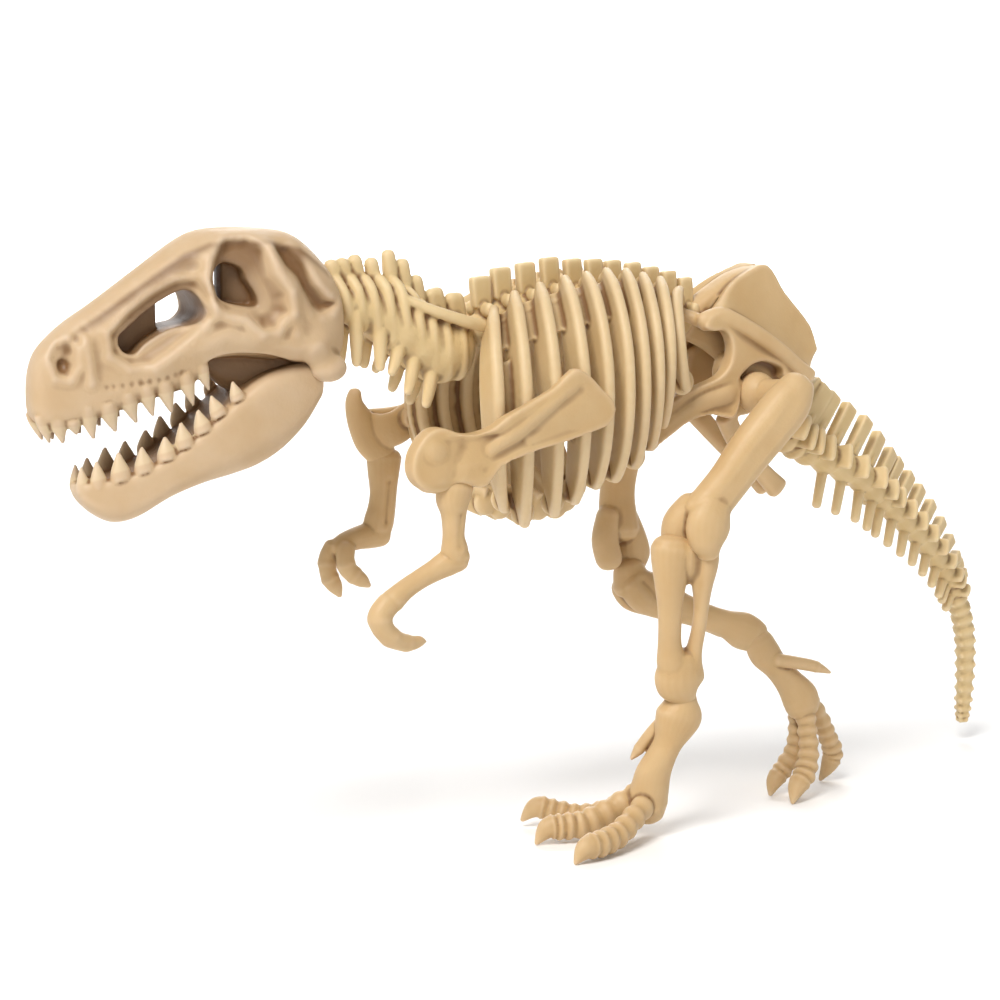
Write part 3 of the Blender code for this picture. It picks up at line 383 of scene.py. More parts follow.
def bend_shape(tree, shape, given, label, power):
    """Leans a shape of height 1 over along X, more towards its top."""
    links = tree.links
    place = tree.nodes.new("GeometryNodeInputPosition")
    split = tree.nodes.new("ShaderNodeSeparateXYZ")
    rise = tree.nodes.new("ShaderNodeMath")
    rise.operation = "POWER"
    rise.inputs[1].default_value = power
    lift = tree.nodes.new("ShaderNodeMath")
    lift.operation = "MAXIMUM"
    lift.inputs[1].default_value = 0.0
    amount = tree.nodes.new("ShaderNodeMath")
    amount.operation = "MULTIPLY"
    offset = tree.nodes.new("ShaderNodeCombineXYZ")
    move = tree.nodes.new("GeometryNodeSetPosition")
    links.new(place.outputs["Position"], split.inputs["Vector"])
    links.new(split.outputs["Z"], lift.inputs[0])
    links.new(lift.outputs["Value"], rise.inputs[0])
    links.new(rise.outputs["Value"], amount.inputs[0])
    links.new(given.outputs[label], amount.inputs[1])
    links.new(amount.outputs["Value"], offset.inputs["X"])
    links.new(shape, move.inputs["Geometry"])
    links.new(offset.outputs["Vector"], move.inputs["Offset"])
    return move.outputs["Geometry"]


def belly_shape(tree, shape, given, label):
    """Swells a shape of height 1 between its base and its top."""
    links = tree.links
    place = tree.nodes.new("GeometryNodeInputPosition")
    split = tree.nodes.new("ShaderNodeSeparateXYZ")
    left_over = tree.nodes.new("ShaderNodeMath")
    left_over.operation = "SUBTRACT"
    left_over.inputs[0].default_value = 1.0
    hump = tree.nodes.new("ShaderNodeMath")
    hump.operation = "MULTIPLY"
    grow = tree.nodes.new("ShaderNodeMath")
    grow.operation = "MULTIPLY_ADD"
    grow.inputs[2].default_value = 1.0
    joined = tree.nodes.new("ShaderNodeCombineXYZ")
    move = tree.nodes.new("GeometryNodeSetPosition")
    links.new(place.outputs["Position"], split.inputs["Vector"])
    links.new(split.outputs["Z"], left_over.inputs[1])
    links.new(split.outputs["Z"], hump.inputs[0])
    links.new(left_over.outputs["Value"], hump.inputs[1])
    links.new(hump.outputs["Value"], grow.inputs[0])
    links.new(given.outputs[label], grow.inputs[1])
    for axis in "XY":
        widen = tree.nodes.new("ShaderNodeMath")
        widen.operation = "MULTIPLY"
        links.new(split.outputs[axis], widen.inputs[0])
        links.new(grow.outputs["Value"], widen.inputs[1])
        links.new(widen.outputs["Value"], joined.inputs[axis])
    links.new(split.outputs["Z"], joined.inputs["Z"])
    links.new(shape, move.inputs["Geometry"])
    links.new(joined.outputs["Vector"], move.inputs["Position"])
    return move.outputs["Geometry"]


def tooth_tree():
    """Curved cones with a full belly, rounded at the tip, one on each point."""
    tree, given, output = new_tree("toy_teeth", [
        ("Curve", "NodeSocketFloat", 0.35), ("Belly", "NodeSocketFloat", 1.0),
        ("Tip Width", "NodeSocketFloat", 0.2), ("Sides", "NodeSocketInt", 14),
        ("Material", "NodeSocketMaterial", None)])
    cone = tree.nodes.new("GeometryNodeMeshCone")
    cone.inputs["Side Segments"].default_value = 8
    cone.inputs["Radius Bottom"].default_value = 1.0
    cone.inputs["Depth"].default_value = 1.0
    tree.links.new(given.outputs["Sides"], cone.inputs["Vertices"])
    tree.links.new(given.outputs["Tip Width"], cone.inputs["Radius Top"])
    full = belly_shape(tree, cone.outputs["Mesh"], given, "Belly")
    bent = bend_shape(tree, full, given, "Curve", 2.0)
    end_tree(tree, place_copies(tree, bent, given), given, output)
    return tree


def bar_tree():
    """Rounded flat bars, one on each point, wider or narrower at the top."""
    tree, given, output = new_tree("toy_bars", [
        ("Roundness", "NodeSocketFloat", 0.5), ("Taper", "NodeSocketFloat", 0.0),
        ("Material", "NodeSocketMaterial", None)])
    links = tree.links
    cube = tree.nodes.new("GeometryNodeMeshCube")
    crease = tree.nodes.new("ShaderNodeMath")
    crease.operation = "SUBTRACT"
    crease.inputs[0].default_value = 1.0
    soft = tree.nodes.new("GeometryNodeSubdivisionSurface")
    soft.inputs["Level"].default_value = 3
    links.new(given.outputs["Roundness"], crease.inputs[1])
    links.new(cube.outputs["Mesh"], soft.inputs["Mesh"])
    links.new(crease.outputs["Value"], soft.inputs["Edge Crease"])
    place = tree.nodes.new("GeometryNodeInputPosition")
    split = tree.nodes.new("ShaderNodeSeparateXYZ")
    grow = tree.nodes.new("ShaderNodeMath")
    grow.operation = "MULTIPLY_ADD"
    grow.inputs[2].default_value = 1.0
    scaled = [tree.nodes.new("ShaderNodeMath") for _ in range(2)]
    joined = tree.nodes.new("ShaderNodeCombineXYZ")
    move = tree.nodes.new("GeometryNodeSetPosition")
    links.new(place.outputs["Position"], split.inputs["Vector"])
    links.new(split.outputs["Z"], grow.inputs[0])
    links.new(given.outputs["Taper"], grow.inputs[1])
    for node, axis in zip(scaled, "XY"):
        node.operation = "MULTIPLY"
        links.new(split.outputs[axis], node.inputs[0])
        links.new(grow.outputs["Value"], node.inputs[1])
        links.new(node.outputs["Value"], joined.inputs[axis])
    links.new(split.outputs["Z"], joined.inputs["Z"])
    links.new(soft.outputs["Mesh"], move.inputs["Geometry"])
    links.new(joined.outputs["Vector"], move.inputs["Position"])
    end_tree(tree, place_copies(tree, move.outputs["Geometry"], given), given, output)
    return tree


def band_tree():
    """Rounded bands swept along curves, such as ribs."""
    tree, given, output = new_tree("toy_bands", [
        ("Thickness", "NodeSocketFloat", 0.6), ("Corner", "NodeSocketFloat", 0.4),
        ("Steps", "NodeSocketInt", 60), ("Material", "NodeSocketMaterial", None)])
    links = tree.links
    curve = tree.nodes.new("GeometryNodeMeshToCurve")
    even = tree.nodes.new("GeometryNodeResampleCurve")
    width = tree.nodes.new("GeometryNodeSetCurveRadius")
    facing = tree.nodes.new("GeometryNodeSetCurveNormal")
    profile = tree.nodes.new("GeometryNodeCurvePrimitiveQuadrilateral")
    round_off = tree.nodes.new("GeometryNodeFilletCurve")
    sweep = tree.nodes.new("GeometryNodeCurveToMesh")
    facing.mode = "FREE"
    profile.inputs["Width"].default_value = 1.0
    round_off.mode = "POLY"
    for label, value in (("Count", 4), ("Radius", 0.3)):
        round_off.inputs[label].default_value = value
    sweep.inputs["Fill Caps"].default_value = True
    links.new(given.outputs["Geometry"], curve.inputs["Mesh"])
    links.new(curve.outputs["Curve"], even.inputs["Curve"])
    links.new(given.outputs["Steps"], even.inputs["Count"])
    links.new(even.outputs["Curve"], width.inputs["Curve"])
    links.new(named(tree, "wide", "FLOAT"), width.inputs["Radius"])
    links.new(width.outputs["Curve"], facing.inputs["Curve"])
    links.new(named(tree, "facing"), facing.inputs["Normal"])
    links.new(given.outputs["Thickness"], profile.inputs["Height"])
    links.new(profile.outputs["Curve"], round_off.inputs["Curve"])
    links.new(given.outputs["Corner"], round_off.inputs["Radius"])
    links.new(facing.outputs["Curve"], sweep.inputs["Curve"])
    links.new(round_off.outputs["Curve"], sweep.inputs["Profile Curve"])
    if "Scale" in sweep.inputs:
        links.new(named(tree, "wide", "FLOAT"), sweep.inputs["Scale"])
    end_tree(tree, sweep.outputs["Mesh"], given, output)
    return tree


def run_tree(tree, data, values):
    """Run a tree on a mesh and give back its result as a plain mesh object."""
    thing = link(tree.name, data)
    maker = thing.modifiers.new("maker", "NODES")
    maker.node_group = tree
    for item in tree.interface.items_tree:
        if item.in_out == "INPUT" and item.name in values:
            maker[item.identifier] = values[item.name]
    return settle(thing)


def copies(tree, rows, values):
    """A shape of the tree on each row: base, tip, half sizes and side direction."""
    data = bpy.data.meshes.new(tree.name)
    data.from_pydata([tuple(row[0]) for row in rows], [], [])
    turns, sizes = [], []
    for base, tip, half_side, half_up, side in rows:
        along = np.asarray(tip, float) - base
        z = unit(along)
        x = unit(np.asarray(side, float) - z * (np.asarray(side, float) @ z))
        y = np.cross(z, x)
        turns.append(Matrix((x, y, z)).transposed().to_euler())
        sizes.append((half_side, half_up, float(np.linalg.norm(along))))
    for name, rows_of in (("turn", turns), ("size", sizes)):
        layer = data.attributes.new(name, "FLOAT_VECTOR", "POINT")
        layer.data.foreach_set("vector", np.array([tuple(r) for r in rows_of]).ravel())
    return run_tree(tree, data, values)


def bands(tree, lines, values):
    """A band of the tree along each line of (x, y, z, width, facing x, y, z)."""
    points, edges = [], []
    for line in lines:
        start = len(points)
        points += [tuple(row) for row in line]
        edges += [(k, k + 1) for k in range(start, len(points) - 1)]
    rows = np.array(points)
    data = bpy.data.meshes.new(tree.name)
    data.from_pydata(rows[:, :3].tolist(), edges, [])
    data.attributes.new("wide", "FLOAT", "POINT").data.foreach_set("value", rows[:, 3])
    facing = data.attributes.new("facing", "FLOAT_VECTOR", "POINT")
    facing.data.foreach_set("vector", rows[:, 4:7].ravel())
    return run_tree(tree, data, values)
# Plastic

def mix_colour(tree, factor, low, high, strength=1.0):
    """Mix two colours, or the colours of two sockets, by a factor."""
    mix = tree.nodes.new("ShaderNodeMix")
    mix.data_type = "RGBA"
    if strength != 1.0:
        scale = tree.nodes.new("ShaderNodeMath")
        scale.operation = "MULTIPLY"
        scale.inputs[1].default_value = strength
        tree.links.new(factor, scale.inputs[0])
        factor = scale.outputs["Value"]
    tree.links.new(factor, mix.inputs["Factor"])
    for index, colour in ((6, low), (7, high)):
        if isinstance(colour, tuple):
            mix.inputs[index].default_value = (*colour, 1.0)
        else:
            tree.links.new(colour, mix.inputs[index])
    return mix.outputs[2]


def spread(tree, value, low, high):
    """A value between low and high turned to the range 0 to 1."""
    span = tree.nodes.new("ShaderNodeMapRange")
    span.inputs["From Min"].default_value = low
    span.inputs["From Max"].default_value = high
    tree.links.new(value, span.inputs["Value"])
    return span.outputs["Result"]


def noise(tree, scale, detail, rough=0.5):
    place = tree.nodes.new("ShaderNodeTexCoord")
    grain = tree.nodes.new("ShaderNodeTexNoise")
    grain.inputs["Scale"].default_value = scale
    grain.inputs["Detail"].default_value = detail
    grain.inputs["Roughness"].default_value = rough
    tree.links.new(place.outputs["Object"], grain.inputs["Vector"])
    return grain.outputs["Fac"]


def stored(tree, name):
    """A number stored on the piece's points."""
    node = tree.nodes.new("ShaderNodeAttribute")
    node.attribute_name = name
    return node.outputs["Fac"]


def plastic(name, base, deep, roughness, grain_depth):
    """Semi-gloss moulded plastic: cloudy tint, painted highlight on sharp edges, painted shade in
    valleys, creases and inside the head, faint grain.
    """
    if name in bpy.data.materials:
        return bpy.data.materials[name]
    material = bpy.data.materials.new(name)
    material.use_nodes = True
    tree = material.node_tree
    shader = tree.nodes["Principled BSDF"]
    red, green, blue = base
    cloudy = (red * 0.93, green * 0.89, blue * 0.82)
    # pale is the painted highlight colour laid on sharp edges and ridges
    pale = (min(1.0, red * 1.1 + 0.04), min(1.0, green * 1.12 + 0.05), min(1.0, blue * 1.18 + 0.06))
    tooth = (min(1.0, red * 1.08 + 0.03), min(1.0, green * 1.14 + 0.04), min(1.0, blue * 1.1 + 0.03))
    cloud = spread(tree, noise(tree, 60.0, 3.0), 0.36, 0.64)
    colour = mix_colour(tree, cloud, cloudy, base)
    colour = mix_colour(tree, stored(tree, "tooth"), colour, tooth, 0.8)
    # Painted highlight: sharp edges are mixed towards the pale colour
    colour = mix_colour(tree, spread(tree, stored(tree, "edge"), 0.1, 1.2), colour, pale, 0.8)
    # Painted shade: broad concave areas are darkened towards a colour halfway to the painted shade
    # colour
    broad_shade_colour = tuple(0.45 * b + 0.55 * d for b, d in zip(base, deep))
    colour = mix_colour(tree, spread(tree, stored(tree, "valley"), 0.05, 1.0), colour, broad_shade_colour, 0.85)
    # Painted shade: fine creases and recesses are darkened towards the painted shade colour
    colour = mix_colour(tree, spread(tree, stored(tree, "hollow"), 0.08, 0.9), colour, deep, 0.9)
    # Painted shade: surfaces deep inside the head, such as the roof of the mouth and the inner walls,
    # are darkened further
    colour = mix_colour(tree, stored(tree, "inside"), colour,
                        tuple(0.9 * value for value in deep), 0.84)
    tree.links.new(colour, shader.inputs["Base Color"])
    gloss = tree.nodes.new("ShaderNodeMapRange")
    gloss.inputs["To Min"].default_value = roughness - 0.07
    gloss.inputs["To Max"].default_value = roughness + 0.1
    tree.links.new(noise(tree, 170.0, 2.0), gloss.inputs["Value"])
    tree.links.new(gloss.outputs["Result"], shader.inputs["Roughness"])
    fine = tree.nodes.new("ShaderNodeBump")
    fine.inputs["Strength"].default_value = 0.25
    fine.inputs["Distance"].default_value = grain_depth
    tree.links.new(noise(tree, 520.0, 4.0, 0.6), fine.inputs["Height"])
    worn = tree.nodes.new("ShaderNodeBump")
    worn.inputs["Strength"].default_value = 0.3
    worn.inputs["Distance"].default_value = grain_depth * 3.0
    tree.links.new(noise(tree, 120.0, 3.0, 0.5), worn.inputs["Height"])
    tree.links.new(fine.outputs["Normal"], worn.inputs["Normal"])
    tree.links.new(worn.outputs["Normal"], shader.inputs["Normal"])
    shader.inputs["Specular IOR Level"].default_value = 0.32
    shader.inputs["Subsurface Weight"].default_value = 0.1
    shader.inputs["Subsurface Radius"].default_value = (1.0, 0.5, 0.25)
    shader.inputs["Subsurface Scale"].default_value = 0.0015
    return material


# Finishing a piece

def neighbour_mean(values, ends, count):
    """Mean of a value over each point's neighbours."""
    a, b = ends[:, 0], ends[:, 1]
    degree = np.bincount(np.concatenate((a, b)), minlength=count).astype(float)
    degree[degree == 0.0] = 1.0
    if values.ndim == 1:
        total = np.bincount(a, values[b], count) + np.bincount(b, values[a], count)
        return total / degree
    return np.stack([neighbour_mean(column, ends, count) for column in values.T], 1)


def mark_shade_and_highlight(thing):
    """Stores fine and broad concavity as masks for painted shade, and sharpness as a mask for painted
    highlight.
    """
    data = thing.data
    count = len(data.vertices)
    ends = np.empty(len(data.edges) * 2, int)
    data.edges.foreach_get("vertices", ends)
    ends = ends.reshape(-1, 2)
    points, normals = read_points(thing)
    near = points
    for _ in range(3):
        near = neighbour_mean(near, ends, count)
    far = near
    for _ in range(22):
        far = neighbour_mean(far, ends, count)
    fine = np.einsum("ij,ij->i", near - points, normals)
    broad = np.einsum("ij,ij->i", far - points, normals)
    for _ in range(5):
        fine = 0.5 * fine + 0.5 * neighbour_mean(fine, ends, count)
        broad = 0.5 * broad + 0.5 * neighbour_mean(broad, ends, count)
    # Fine and broad concavity become painted shade masks, sharp edges a painted highlight mask
    for name, value in (("hollow", fine * 14.0), ("edge", -fine * 12.0), ("valley", broad * 2.2)):
        layer = data.attributes.new(name, "FLOAT", "POINT")
        layer.data.foreach_set("value", np.clip(value, 0.0, 1.5))


def finish_piece(thing, name, nodes, material):
    mark_shade_and_highlight(thing)
    points, _ = read_points(thing)
    write_points(thing, (points - BOX_CENTRE) * MM)
    thing.name = name
    thing.data.name = name
    thing.data.materials.clear()
    thing.data.materials.append(material)
    thing.data.shade_smooth()
    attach(thing, BODY)
    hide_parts(*nodes)


def groove(thing, lines, width, depth):
    """Press rounded grooves along lines, or raise ridges where depth is below zero."""
    points, normals = read_points(thing)
    push = np.zeros(len(points))
    for line in lines:
        gap, _ = line_distance(points, line)
        push = np.maximum(push, np.exp(-(gap / width) ** 2))
    write_points(thing, points - normals * (push * depth)[:, None])


# Head: forward along it from a point below the back of the skull, out to its
# left, and height

HEAD_ORIGIN = np.array((-52.0, 0.0, 0.0))
HEAD_YAW = math.radians(6.0)
HEAD_AHEAD = np.array((-math.cos(HEAD_YAW), math.sin(HEAD_YAW), 0.0))
HEAD_LEFT = np.array((-math.sin(HEAD_YAW), -math.cos(HEAD_YAW), 0.0))
UP = np.array((0.0, 0.0, 1.0))


def head_point(forward, left, height):
    return HEAD_ORIGIN + HEAD_AHEAD * forward + HEAD_LEFT * left + UP * height


def head_view(points):
    """Points or directions as forward, left and height of the head."""
    turned = np.stack((points @ HEAD_AHEAD, points @ HEAD_LEFT, points @ UP), 1)
    shift = np.array((HEAD_ORIGIN @ HEAD_AHEAD, HEAD_ORIGIN @ HEAD_LEFT, 0.0))
    return turned - shift


# Skull sections from the snout back: forward, top, bottom, half width, and how
# much narrower the top is than the bottom
SKULL_SECTIONS = [
    (94.3, 150.6, 141.0, 3.4, 0.0), (93.2, 155.2, 138.8, 5.8, 0.1),
    (90.9, 159.2, 137.0, 7.6, 0.15), (84.5, 165.0, 136.9, 9.3, 0.2),
    (75.5, 170.8, 138.6, 10.8, 0.24), (62.5, 179.8, 142.8, 12.2, 0.26),
    (51.0, 187.6, 146.0, 13.6, 0.22), (44.0, 190.4, 150.2, 14.6, 0.18),
    (36.0, 190.9, 152.8, 15.4, 0.14), (26.0, 190.5, 152.8, 16.0, 0.12),
    (17.0, 188.6, 152.0, 15.8, 0.12), (9.0, 181.6, 151.0, 13.8, 0.1),
    (4.6, 175.0, 154.0, 10.6, 0.05), (2.8, 168.6, 159.0, 7.0, 0.0),
]

JAW_SECTIONS = [
    (81.8, 119.6, 117.2, 3.2, 0.0), (80.4, 120.2, 114.6, 5.4, 0.0),
    (76.5, 120.9, 110.9, 7.2, 0.0), (71.5, 122.0, 108.6, 8.8, 0.0),
    (65.0, 124.0, 109.8, 10.4, 0.0), (55.5, 128.6, 115.0, 11.9, 0.0),
    (46.0, 135.8, 118.4, 13.0, 0.0), (36.7, 143.8, 120.6, 13.8, 0.0),
    (29.0, 149.0, 123.0, 13.8, 0.0), (22.0, 151.4, 127.0, 13.2, 0.0),
    (15.5, 152.4, 133.2, 12.2, 0.0), (10.5, 152.4, 141.0, 11.0, 0.0),
]

# Blocks inside the skull: the nose wall, the roof of the mouth, the brain case
# and the throat bones, in the same terms as the skull's sections
NOSE_WALL = [(91.0, 154.0, 146.0, 1.3, 0.0), (82.0, 160.0, 146.0, 1.3, 0.0),
             (70.0, 170.0, 147.5, 1.3, 0.0), (57.4, 180.0, 149.0, 1.3, 0.0)]
MOUTH_ROOF = [(90.0, 147.4, 145.0, 4.6, 0.0), (82.0, 147.8, 145.2, 7.6, 0.0),
              (70.0, 150.0, 147.4, 10.0, 0.0), (55.0, 153.4, 150.6, 11.6, 0.0),
              (40.0, 158.2, 154.4, 12.2, 0.0), (24.0, 158.0, 153.0, 12.0, 0.0)]
BRAIN_CASE = [(38.5, 186.0, 166.0, 3.4, 0.0), (34.0, 188.0, 158.0, 5.2, 0.0),
              (26.0, 188.0, 152.0, 6.6, 0.0), (16.0, 184.0, 150.0, 7.0, 0.0)]
THROAT = [(45.0, 157.0, 152.0, 3.6, 0.0), (38.0, 158.0, 145.5, 5.4, 0.0),
          (28.0, 158.0, 141.5, 6.2, 0.0), (18.0, 158.0, 142.0, 6.6, 0.0),
          (10.0, 158.0, 147.0, 6.4, 0.0)]


def head_loft(sections, over=2.5, under=2.5, sides=56, spans=5, wall=0.0, drop=0.0, lift=0.0):
    """Upright ovals along the head, with their own squareness over and under
    the middle; a wall shrinks them into a cavity."""
    clay = Clay()
    angles = 2.0 * np.pi * (np.arange(sides) + 0.5) / sides
    c, s = np.cos(angles), np.sin(angles)
    power = np.where(s > 0.0, over, under)
    c = np.sign(c) * np.abs(c) ** (2.0 / power)
    s = np.sign(s) * np.abs(s) ** (2.0 / power)
    rings = []
    for forward, top, bottom, half, narrow in spline_rows(sections, spans):
        low = bottom - drop + (wall if not drop else 0.0)
        high = top - wall + lift
        wide = max(half - wall, 0.3)
        height = (high + low) / 2.0 + s * (high - low) / 2.0
        across = c * wide * (1.0 - narrow * (s + 1.0) / 2.0)
        rings.append(head_point(forward, 0.0, 0.0) + np.outer(across, HEAD_LEFT)
                     + np.outer(height, UP))
    start = rings[0].mean(0) + HEAD_AHEAD * 0.3
    end = rings[-1].mean(0) - HEAD_AHEAD * 0.3
    clay.rings(rings, start, end)
    return clay


def side_prism(outline, near, far, spans=6):
    """A bar across the head whose section is a smooth outline in the side view."""
    ring = closed_spline(outline, spans)
    clay = Clay()
    rings = [np.array([head_point(f, left, z) for f, z in ring]) for left in (near, far)]
    clay.rings(rings, rings[0].mean(0), rings[1].mean(0))
    return clay


# Openings and hollows of the skull's side: forward and height
FACE_OPENING = [(70.3, 161.0), (67.5, 163.8), (62.2, 168.2), (57.0, 171.6), (51.3, 174.0),
                (47.8, 172.0), (46.0, 167.6), (48.4, 164.6), (55.8, 163.2), (62.4, 159.6),
                (66.0, 156.4), (69.3, 157.4)]
FACE_RECESS = [(73.6, 162.6), (68.0, 168.6), (61.0, 173.6), (54.5, 177.0), (48.0, 177.8),
               (44.2, 173.0), (44.6, 166.5), (50.0, 161.8), (57.0, 156.4), (62.0, 153.2),
               (68.0, 153.0), (73.2, 156.4)]
EYE_OPENING = [(43.2, 175.2), (42.8, 179.2), (39.4, 181.4), (34.8, 179.6), (33.6, 176.3),
               (31.0, 171.8), (31.5, 168.9), (38.5, 169.9), (42.2, 171.8)]
EYE_RECESS = [(44.0, 183.1), (39.8, 188.6), (32.5, 188.9), (28.4, 185.4), (26.4, 178.4),
              (22.9, 172.9), (22.4, 167.2), (26.4, 162.6), (30.8, 162.2), (35.5, 166.0),
              (41.0, 167.4), (45.0, 170.6), (46.0, 176.5)]
CHEEK_HOLLOW = [(25.0, 185.4), (23.2, 180.0), (20.0, 176.4), (18.0, 172.4), (15.0, 167.4),
                (12.0, 166.0), (8.4, 167.0), (6.4, 169.4), (10.0, 171.2), (13.8, 175.4),
                (16.7, 181.2), (20.4, 185.6)]
NOSTRIL = [(88.2, 160.2), (90.2, 156.0), (88.4, 150.6), (84.6, 150.0), (82.4, 153.6),
           (82.6, 158.4), (84.8, 161.2)]
NOSTRIL_HOLE = [(87.0, 155.2), (87.2, 152.6), (85.0, 152.0), (84.2, 154.6)]
NOSTRIL_GROOVE = [(85.4, 155.6), (83.6, 159.6), (79.9, 163.2)]
SNOUT_RIDGE = [(80.4, 162.0), (79.6, 156.0), (78.9, 149.0)]
LONG_GROOVE = [(77.0, 165.4), (70.0, 171.4), (62.0, 176.6), (55.0, 180.4)]
GUM_PITS = [(74.4, 147.6), (67.5, 148.2), (60.0, 149.4), (53.6, 151.0)]
CHEEK_BAR = [(60.0, 152.6), (50.0, 158.0), (40.0, 161.8), (30.0, 158.8), (20.0, 156.4),
             (12.0, 158.6)]
BROW = [(64.0, 175.6), (56.0, 180.6), (48.0, 185.2), (38.0, 189.6), (30.0, 189.4)]
BACK_STRUT = [(27.6, 187.4), (24.6, 180.6), (21.4, 174.6), (20.0, 168.0), (20.6, 161.4)]
FRONT_STRUT = [(46.4, 182.6), (45.4, 176.4), (44.8, 169.6), (47.0, 164.4)]
MOUTH_CORNER = [(48.2, 149.0), (46.7, 153.2), (43.4, 155.3), (38.7, 156.1), (33.6, 156.0),
                (28.3, 155.4), (22.6, 153.8), (17.5, 151.2), (12.0, 143.0), (30.0, 138.0),
                (46.0, 140.0)]

# Teeth: root forward, root height, tip forward, tip height, half width
UPPER_TEETH = [
    (91.4, 138.2, 90.2, 131.9, 2.0), (87.4, 137.6, 86.8, 131.8, 2.3),
    (83.4, 137.6, 83.0, 134.2, 2.0), (79.4, 140.4, 78.6, 132.9, 2.6),
    (73.8, 141.2, 72.4, 134.6, 2.6), (68.2, 143.8, 66.5, 136.9, 2.5),
    (63.0, 145.6, 61.7, 138.6, 2.4), (57.8, 146.6, 56.4, 139.4, 2.4),
    (51.8, 148.8, 50.2, 141.2, 2.3), (47.4, 151.6, 45.6, 145.3, 2.0),
]
LOWER_TEETH = [
    (80.0, 119.6, 81.0, 124.9, 1.9), (76.0, 120.6, 77.2, 126.3, 2.4),
    (70.2, 122.8, 71.5, 128.7, 2.8), (63.8, 124.8, 65.1, 130.0, 2.7),
    (57.4, 128.0, 58.6, 132.8, 2.7), (52.4, 131.4, 54.0, 136.6, 2.6),
    (47.2, 135.4, 49.1, 140.0, 2.5), (42.8, 139.6, 45.2, 143.8, 2.3),
    (37.2, 143.8, 38.9, 147.8, 2.0),
]


def section_at(sections, forward):
    """Top, bottom and half width of the head at places along it."""
    rows = np.array(sections)[::-1]
    return [np.interp(forward, rows[:, 0], rows[:, column]) for column in (1, 2, 3)]


def head_press(thing, outlines, depth, bevel, reach=4.0):
    """Press flat outlines of the side view into both sides of the head."""
    points, normals = read_points(thing)
    local = head_view(points)
    side = np.where(local[:, 1] >= 0.0, 1.0, -1.0)
    outer = ease(((normals @ HEAD_LEFT) * side + 0.05) / 0.3) * (np.abs(local[:, 1]) > reach)
    push = np.zeros(len(points))
    for outline in outlines:
        inside = outline_depth(local[:, [0, 2]], closed_spline(outline, 5))
        push = np.maximum(push, ease(inside / bevel + 0.5))
    shift = -(push * outer * depth * side)[:, None] * HEAD_LEFT
    write_points(thing, points + shift)


def head_ridge(thing, lines, width, height, reach=4.0):
    """Raise soft ridges along lines of the side view, or grooves below zero."""
    points, normals = read_points(thing)
    local = head_view(points)
    side = np.where(local[:, 1] >= 0.0, 1.0, -1.0)
    outer = ease(((normals @ HEAD_LEFT) * side + 0.05) / 0.3) * (np.abs(local[:, 1]) > reach)
    push = np.zeros(len(points))
    for line in lines:
        gap, _ = line_distance(local[:, [0, 2]], line)
        push = np.maximum(push, np.exp(-(gap / width) ** 2))
    shift = (push * outer * height * side)[:, None] * HEAD_LEFT
    write_points(thing, points + shift)


# Skull and jaw

def teeth_rows(table, sections, inset):
    """Root, tip, half sizes and curve direction of each tooth, on both sides."""
    rows = []
    for root_f, root_z, tip_f, tip_z, half in table:
        out = max(float(section_at(sections, root_f)[2]) - inset, 2.4)
        for side in (1.0, -1.0):
            root = head_point(root_f, side * out, root_z)
            tip = head_point(tip_f, side * (out - 0.5), tip_z)
            sunk = root - (tip - root) * 0.3
            rows.append((sunk, tip, half * 1.14, half * 0.92, -HEAD_AHEAD))
    return rows


def mark_teeth(thing, rows):
    """Stores where the surface is tooth, for the paler tooth colour."""
    points, _ = read_points(thing)
    value = np.zeros(len(points))
    for sunk, tip, half, _, _ in rows:
        gap, place = line_distance(points, [sunk, tip])
        value = np.maximum(value, ease((half * 1.3 - gap) / 0.5) * ease((place - 0.28) / 0.1))
    layer = thing.data.attributes.new("tooth", "FLOAT", "POINT")
    layer.data.foreach_set("value", value)


def mark_inside_shade(thing, sections, over, under):
    """Stores how deep inside the head's shell the surface lies, as a mask for painted shade."""
    local = head_view(read_points(thing)[0])
    top, bottom, half = section_at(sections, local[:, 0])
    deep = ease((half - np.abs(local[:, 1]) - 2.6) / 2.4)
    if over:
        deep *= ease((top - local[:, 2] - 2.6) / 2.0)
        deep *= ease((91.0 - local[:, 0]) / 3.0) * ease((local[:, 0] - 6.0) / 3.0)
    if under:
        deep *= ease((local[:, 2] - bottom - 2.4) / 2.0)
    layer = thing.data.attributes.new("inside", "FLOAT", "POINT")
    layer.data.foreach_set("value", deep)


